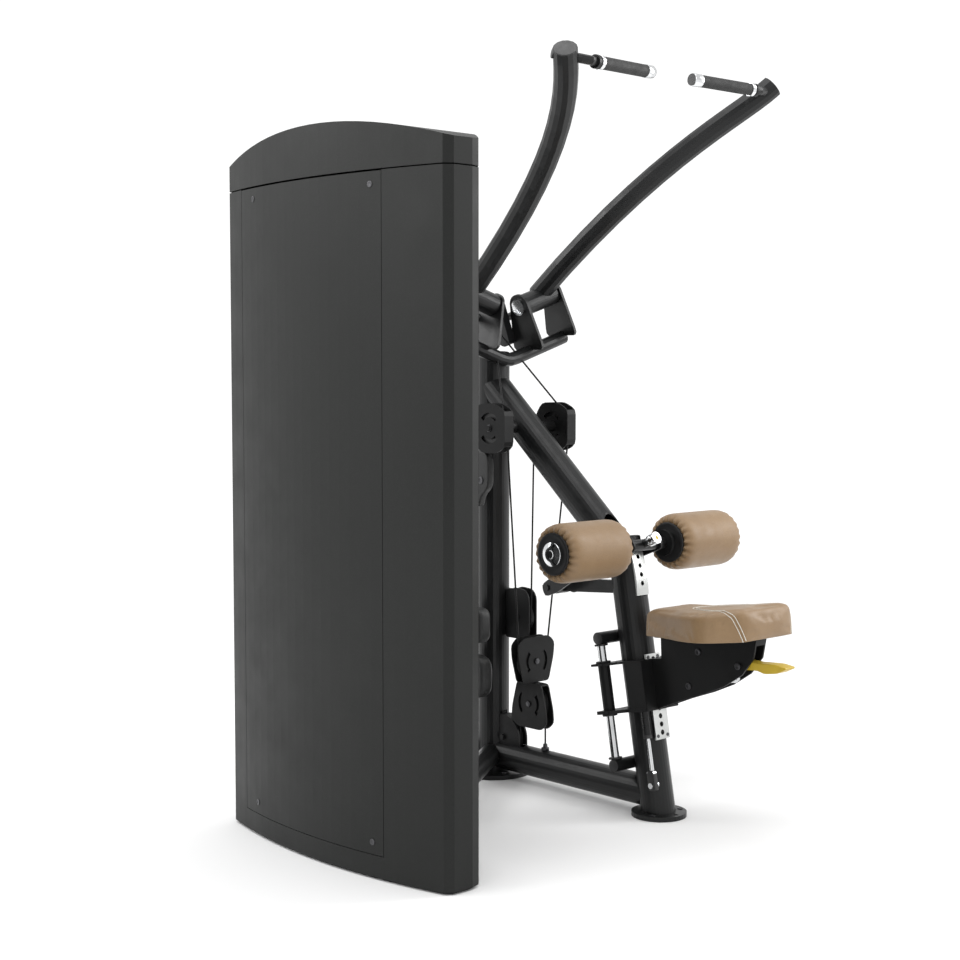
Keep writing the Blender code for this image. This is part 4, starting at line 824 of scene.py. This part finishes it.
# pulley bolts: nuts on both faces of the block, the diverters and the base pulley
BLOCK_Y = -0.160
DIVERTER = Vector((0.120, -0.128, 0.990))
UPPER, LOWER = Vector((0, BLOCK_Y, 0.342)), Vector((0, BLOCK_Y, 0.222))
BASE = Vector((0, -0.058, 0.113))
for half, label, centre, out in (("upper", "rear", UPPER, -Y), ("upper", "front", UPPER, Y),
                                 ("lower", "left", LOWER, -X), ("lower", "right", LOWER, X)):
    housing = "block_{}_housing".format(half)
    spot = on_face(housing, centre, out, 0.3, 0.012)
    if spot:
        screwed(hex_nut, "block_nut_{}_{}".format(half, label), spot, out, 0.85, black_oxide,
                "block", 0.7)
for side, tag in SIDES:
    out = X * side
    housing = "diverter_housing_" + tag
    spot = on_face(housing, Vector((DIVERTER.x * side, DIVERTER.y, DIVERTER.z)), out, 0.3, 0.013)
    if spot:
        screwed(socket_screw, "diverter_bolt_" + tag, spot, out, 0.95, black_oxide, "frame",
                0.6)
    spot = on_face("base_pulley_bracket", BASE, out, 0.3, 0.012)
    if spot:
        screwed(hex_nut, "base_bolt_" + tag, spot, out, 0.85, black_oxide, "frame",
                0.6)

# floor bolts through the disc feet
FOOT_BOLTS_R = 0.080
for number, degrees in enumerate((200, 250, 20, 70)):
    turn = math.radians(degrees)
    spot = Vector((FOOT_BOLTS_R * math.cos(turn), FOOT_BOLTS_R * math.sin(turn), 0.012))
    screwed(hex_nut, "main_foot_bolt_{}".format(number), spot, Z, 0.85, black_oxide, "frame",
            0.7)
for number, x in enumerate((-0.054, 0.054)):
    place, _ = skin_of("seat_post", (x, -0.6545, 0.4), (0, 0, -1))
    if place and place.z < 0.03:
        screwed(socket_screw, "seat_foot_bolt_{}".format(number), place, Z, 0.75, black_oxide,
                "frame", 0.5)

# flat screws at the corners of the seat's hole plate
HOLE_LOW, HOLE_HIGH = 0.213 - 0.008, 0.402 + 0.006
for number, (x, height) in enumerate(((-0.018, HOLE_LOW), (0.018, HOLE_LOW),
                                      (-0.018, HOLE_HIGH), (0.018, HOLE_HIGH))):
    screwed(socket_screw, "hole_plate_screw_{}".format(number), on_post(x, 0.0500, height),
            post_back, 0.46, black_oxide, "frame", 0.42)

# ------------------------------------------------------------------ caps and rings
post_cap = lathe("upright_cap", [(0.0, 0.0045), (0.030, 0.0040), (0.0395, 0.0028),
                                 (0.0435, 0.0008), (0.0440, -0.0008), (0.0412, -0.0012),
                                 (0.0405, -0.0150), (0.0, -0.0150)], (0, 0, 1.1965), Z, 56)
fitted(post_cap, black_plastic, "frame")
for side, tag in SIDES:
    end = Vector((0.390 * side, -0.665, 1.898))
    way = Vector((0.064 * side, -0.056, 0.078)).normalized()
    arm_cap = lathe("arm_cap_" + tag, [(0.0, 0.0006), (0.0262, 0.0006), (0.0272, 0.0004),
                                       (0.0278, -0.0006), (0.0278, -0.0020), (0.0, -0.0020)],
                    end + way * 0.0006, way, 56)
    fitted(arm_cap, black_plastic, "arm_" + tag)

neck = [Vector(p) for p in ((0.376, -0.652, 1.884), (0.344, -0.672, 1.879),
                            (0.318, -0.6795, 1.8765), (0.290, -0.6765, 1.8765),
                            (0.078, -0.654, 1.881))]
grip_way = (neck[4] - neck[3]).normalized()
end_cap_profile = [(0.0118, 0.0), (0.0162, 0.0), (0.0166, 0.0012), (0.0166, 0.0262),
                   (0.0158, 0.0280), (0.0140, 0.0288), (0.0072, 0.0288), (0.0064, 0.0280),
                   (0.0060, 0.0230), (0.0, 0.0228)]
for side, tag in SIDES:
    flip = Matrix.Diagonal((side, 1, 1))
    inner, way = flip @ neck[4], (flip @ grip_way)
    cap = lathe("grip_cap_" + tag, end_cap_profile, inner - way * 0.0272, way, 48)
    fitted(cap, chrome, "arm_" + tag)
    ring = lathe("grip_ring_" + tag, [(0.0118, 0.0), (0.0168, 0.0), (0.0176, 0.0010),
                                      (0.0176, 0.0100), (0.0168, 0.0110), (0.0118, 0.0110),
                                      (0.0118, 0.0)], flip @ neck[3] + way * -0.0005, way, 48)
    fitted(ring, chrome, "arm_" + tag)
    through = (flip @ (neck[0] - neck[1])).normalized()
    nub = lathe("neck_nub_" + tag, [(0.0, 0.0), (0.0105, 0.0), (0.0115, 0.0010),
                                    (0.0115, 0.0100), (0.0, 0.0100)],
                flip @ neck[0] + through * 0.0335, -through, 32)
    fitted(nub, frame_paint, "arm_" + tag)

# black end fitting over the foot of the gas spring, and the seat post's top plug
spring_place = Matrix((post_up.cross(X) * -1, post_up, X)).transposed().to_4x4()
SPRING_X, SPRING_BEHIND = -0.0440, 0.0370
spring_place.translation = on_post(SPRING_X - 0.0098, SPRING_BEHIND, 0)
spring_foot = sheet_cut("gas_spring_foot", rounded([(-0.0118, 0.0708), (0.0118, 0.0708),
                                                    (0.0118, 0.1130), (0.0070, 0.1215),
                                                    (-0.0070, 0.1215), (-0.0118, 0.1130)],
                                                   0.004, 3), 0.0136, spring_place, 0.0010, 2)
fitted(spring_foot, black_plastic, "frame")
collar = lathe("gas_spring_collar", [(0.0060, 0.0), (0.0108, 0.0), (0.0111, 0.0010),
                                     (0.0111, 0.0080), (0.0100, 0.0092), (0.0060, 0.0092),
                                     (0.0060, 0.0)],
               on_post(SPRING_X, SPRING_BEHIND, 0.2035), post_up, 36)
fitted(collar, black_plastic, "seat")
post_plug = lathe("seat_post_plug", [(0.0, 0.0040), (0.0300, 0.0036), (0.0400, 0.0024),
                                     (0.0436, 0.0006), (0.0440, 0.0), (0.0405, 0.0),
                                     (0.0400, -0.0100), (0.0, -0.0100)],
                  on_post(0, 0, 0.7224), post_up, 56)
fitted(post_plug, black_plastic, "frame")
ROD_X, ROD_BEHIND = 0.066, -0.065
for side, tag in SIDES:
    for height in (0.140, 0.470):
        place = on_post(side * 0.084, -0.058, height)
        end_plug = lathe("crossbar_plug_{}_{:.0f}".format(tag, height * 1000),
                         [(0.0, 0.0016), (0.0110, 0.0014), (0.0146, 0.0006), (0.0152, -0.0004),
                          (0.0, -0.0004)], place, X * side, 40)
        fitted(end_plug, black_plastic, "frame")
    for label, along in (("high", 0.452), ("low", 0.158)):
        ring = lathe("guide_rod_ring_{}_{}".format(label, tag),
                     [(0.0111, 0.0), (0.0170, 0.0), (0.0176, 0.0008), (0.0176, 0.0042),
                      (0.0168, 0.0050), (0.0111, 0.0050), (0.0111, 0.0)],
                     on_post(side * ROD_X, ROD_BEHIND, along - 0.0025), post_up, 40)
        fitted(ring, black_plastic, "frame")
    for label, along in (("high", 0.4046), ("low", 0.2675)):
        bush = lathe("carriage_bush_{}_{}".format(label, tag),
                     [(0.0112, 0.0), (0.0190, 0.0), (0.0196, 0.0010), (0.0196, 0.0040),
                      (0.0180, 0.0052), (0.0112, 0.0052), (0.0112, 0.0)],
                     on_post(side * ROD_X, ROD_BEHIND, along), post_up, 40)
        fitted(bush, black_plastic, "seat")

# ------------------------------------------------------------------ seat lever
post_place = Matrix((post_back, post_up, post_back.cross(post_up))).transposed().to_4x4()
post_place.translation = post_foot
lever_outline = rounded([(0.330, 0.363), (0.394, 0.3555), (0.420, 0.3475), (0.455, 0.3465),
                         (0.484, 0.3545), (0.484, 0.3585), (0.455, 0.3680), (0.402, 0.3745),
                         (0.360, 0.3860), (0.330, 0.3850)], 0.006, 3)
LEVER_HALF = 0.0185
lever = sheet_cut("lever_paddle", lever_outline, LEVER_HALF * 2,
                  Matrix.Translation((0, 0, -LEVER_HALF)))
for vertex in lever.data.vertices:
    wide = ease((vertex.co.x - 0.385) / 0.030)
    vertex.co.z *= (0.0105 + 0.0080 * wide) / LEVER_HALF
rounded_edges(lever, 0.0030, 4, 30)
lever.data.transform(post_place)
smooth(lever, 40)
fitted(lever, yellow_plastic, "seat_release")
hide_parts("seat_lever")

# ------------------------------------------------------------------ covers beside the upright
def side_cover(name, outline, x0, x1, edge):
    """A moulded cover: an outline in (y, z), extruded across the machine."""
    place = Matrix(((0, 0, 1), (1, 0, 0), (0, 1, 0))).to_4x4()
    place.translation = (x0, 0, 0)
    cover = sheet_cut(name, outline, x1 - x0, place, edge, 4, 50)
    return fitted(cover, cover_plastic, "frame")


side_cover("side_cover_upper", rounded([(-0.107, 0.925), (-0.107, 0.828), (-0.076, 0.800),
                                        (-0.070, 0.772), (0.020, 0.772), (0.040, 0.925)],
                                       0.034, 6), -0.120, -0.098, 0.0045)
side_cover("side_cover_middle", rounded([(-0.099, 0.492), (-0.099, 0.394), (0.050, 0.394),
                                         (0.050, 0.492)], 0.030, 6), -0.142, -0.098, 0.0120)
side_cover("side_cover_lower", rounded([(-0.108, 0.360), (-0.108, 0.241), (0.050, 0.241),
                                        (0.050, 0.360)], 0.044, 8), -0.142, -0.098, 0.0140)
screwed(socket_screw, "side_cover_bolt", (-0.120, -0.077, 0.845), (-1, 0, 0), 1.0, black_oxide,
        "frame", 0.5)
for number, z in enumerate((0.445, 0.300, 0.850)):
    stub = lathe("cover_stub_{}".format(number), [(0.0, 0.0), (0.0135, 0.0), (0.0150, 0.0015),
                                                  (0.0150, 0.0580), (0.0, 0.0580)],
                 (-0.0425, -0.004, z), (-1, 0, 0), 36)
    fitted(stub, frame_paint, "frame")

# ------------------------------------------------------------------ cables
CABLE_R, RUN, SMALL_RUN = 0.0025, 0.0505, 0.041
WRAP = RUN + CABLE_R


def strand(name, points, body=None, joined=None):
    """A length of cable: fixed to one body, or stretched between two."""
    piece = line(name, points, CABLE_R)
    piece.data.materials.append(cable_coat)
    if joined:
        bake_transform(piece)
    else:
        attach(piece, body)
    return piece


for side, tag in SIDES:
    pivot, out, down = arm_pivot(side)
    horn_end = pivot - out * 0.120 + down * 0.1120 + Y * 0.0660
    centre = Vector((DIVERTER.x * side, DIVERTER.y, DIVERTER.z))
    reach = Vector((horn_end.y - centre.y, horn_end.z - centre.z))
    first = math.degrees(math.atan2(reach.y, reach.x) + math.acos(WRAP / reach.length))
    over = arc(centre, WRAP, Y, Z, first, 180, 24)
    strand("cable_horn_run_" + tag, span(horn_end, over[0]), joined=("arm_" + tag, "frame"))
    strand("cable_over_diverter_" + tag, over, body="frame")
    strand("cable_drop_" + tag, span(over[-1], UPPER + X * side * RUN),
           joined=("frame", "block"))
    ferrule = lathe("horn_ferrule_" + tag, [(0.0028, 0.0), (0.0058, 0.0), (0.0062, 0.0006),
                                            (0.0062, 0.0180), (0.0046, 0.0260), (0.0036, 0.0300),
                                            (0.0028, 0.0300)], horn_end,
                    (over[0] - horn_end).normalized(), 32)
    fitted(ferrule, chrome, "arm_" + tag)
strand("cable_under_block", arc(UPPER, RUN, X, Z, 180, 360, 48), body="block")

anchor = Vector((0, BLOCK_Y - RUN, 0.0983))
strand("cable_floor_run", span(anchor, LOWER - Y * RUN),
       joined=("frame", "block"))
strand("cable_over_block", arc(LOWER, RUN, Y, Z, 180, 0, 48), body="block")
strand("cable_base_run", span(LOWER + Y * RUN, Vector((0, LOWER.y + RUN, BASE.z))),
       joined=("block", "frame"))
CORNER, FOOT, TOP = (Vector((-0.041, 0.1162, 0.0625)), Vector((-0.6603, -0.2614, 0.113)),
                     Vector((-0.7434, -0.3188, 1.520)))
line_dir = Vector((-0.823, -0.568, 0)).normalized()
heading = math.degrees(math.atan2(0.568, 0.823))
route = arc(BASE, RUN, Y, Z, 180, 270, 24) + arc(CORNER, SMALL_RUN, X, Y, 0, heading + 90, 24)
route += arc(FOOT, RUN, line_dir, Z, -90, 0, 24) + arc(TOP, RUN, line_dir, Z, 180, 0, 48)
strand("cable_to_tower", route, body="frame")
STACK_TOP = Vector((-0.785, -0.3475, 0.6440))
strand("cable_to_stack", span(route[-1], STACK_TOP + Z * 0.0005),
       joined=("frame", "lifted_stack"))
nut_base = anchor - Z * 0.0010
floor_nut = lathe("cable_floor_nut", [(0.0028, 0.0), (0.0105, 0.0), (0.0110, 0.0008),
                                      (0.0110, 0.0075), (0.0088, 0.0090), (0.0064, 0.0095),
                                      (0.0058, 0.0180), (0.0028, 0.0190)],
                  nut_base, Z, 36)
fitted(floor_nut, black_oxide, "frame")
stack_ferrule = lathe("stack_ferrule", [(0.0028, 0.0), (0.0085, 0.0), (0.0090, 0.0008),
                                        (0.0090, 0.0160), (0.0060, 0.0240), (0.0028, 0.0260)],
                      STACK_TOP, Z, 36)
fitted(stack_ferrule, chrome, "lifted_stack")
guide = Vector((0.018, -0.093, 0.455))
brace_spot = Vector((0.024, guide.y - SMALL_RUN - 0.004, 0.955))
static = span(brace_spot, guide - Y * SMALL_RUN, 0.03)
static += arc(guide, SMALL_RUN, Y, Z, 180, 300, 24)[1:]
strand("cable_static", static, body="frame")
brace_nut = copy_of(floor_nut, "cable_brace_nut", Matrix.Translation(brace_spot)
                    @ Matrix.Diagonal((0.9, 0.9, -0.9, 1))
                    @ Matrix.Translation(-nut_base))
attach(brace_nut, "frame")
for slot in ("equaliser_cable", "lifting_cable"):
    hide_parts(slot)

for master in (socket_screw, hex_nut):
    bpy.data.objects.remove(master, do_unlink=True)

# ------------------------------------------------------------------ floor and light
nothing_selected()
bpy.ops.mesh.primitive_plane_add(size=160, location=(0, 0, -0.0005))
floor = named("studio_floor")
bpy.ops.object.transform_apply(location=True)
floor_white, floor_tree, floor_shader = blank("floor_white")
floor_tone = ramp(floor_tree, noise(floor_tree, coords(floor_tree), 0.6, 2),
                  [(0.3, (0.86, 0.86, 0.86)), (0.7, (0.88, 0.88, 0.88))])
floor_tree.links.new(floor_tone, floor_shader.inputs["Base Color"])
floor_shader.inputs["Roughness"].default_value = 0.9
floor_shader.inputs["Specular IOR Level"].default_value = 0.0
# painted light: the floor glows, more the farther it is from the middle, so the far floor whitens
# into the backdrop while the floor near the machine keeps only lamp light
floor_shader.inputs["Emission Color"].default_value = (1, 1, 1, 1)
from_middle = node(floor_tree, "VectorMath", operation="LENGTH")
floor_tree.links.new(coords(floor_tree), from_middle.inputs[0])
floor_tree.links.new(spread(floor_tree, from_middle.outputs["Value"], 0.0, 0.34, 1.6, 7.0),
                     floor_shader.inputs["Emission Strength"])
floor.data.materials.append(floor_white)

world = bpy.context.scene.world or bpy.data.worlds.new("studio")
bpy.context.scene.world = world
world.use_nodes = True
world.node_tree.nodes["Background"].inputs["Color"].default_value = (1, 1, 1, 1)
backdrop = node(world.node_tree, "LightPath")
world.node_tree.links.new(spread(world.node_tree, backdrop.outputs["Is Camera Ray"], 0.90, 1.10,
                                 0.0, 1.0),
                          world.node_tree.nodes["Background"].inputs["Strength"])
bpy.context.scene.view_settings.view_transform = "Standard"


def softbox(name, place, target, size, power):
    place, target = Vector(place), Vector(target)
    bpy.ops.object.light_add(type="AREA", location=place)
    lamp = bpy.context.object
    lamp.name = lamp.data.name = name
    lamp.data.shape, lamp.data.size, lamp.data.size_y = "RECTANGLE", size[0], size[1]
    lamp.data.energy = power
    lamp.rotation_euler = (target - place).to_track_quat("-Z", "Y").to_euler()
    return lamp


softbox("key_right", (2.4, -2.2, 2.3), (0, -0.4, 1.0), (1.0, 2.6), 55)
softbox("fill_left", (-4.4, 0.6, 2.6), (-0.6, -0.4, 0.9), (1.6, 2.4), 40)
softbox("tower_glow", (-3.0, 2.6, 3.3), (-0.75, -0.1, 1.8), (1.8, 1.4), 60)
softbox("top_soft", (-0.6, -0.8, 4.4), (-0.2, -0.4, 0.6), (3.2, 3.2), 70)
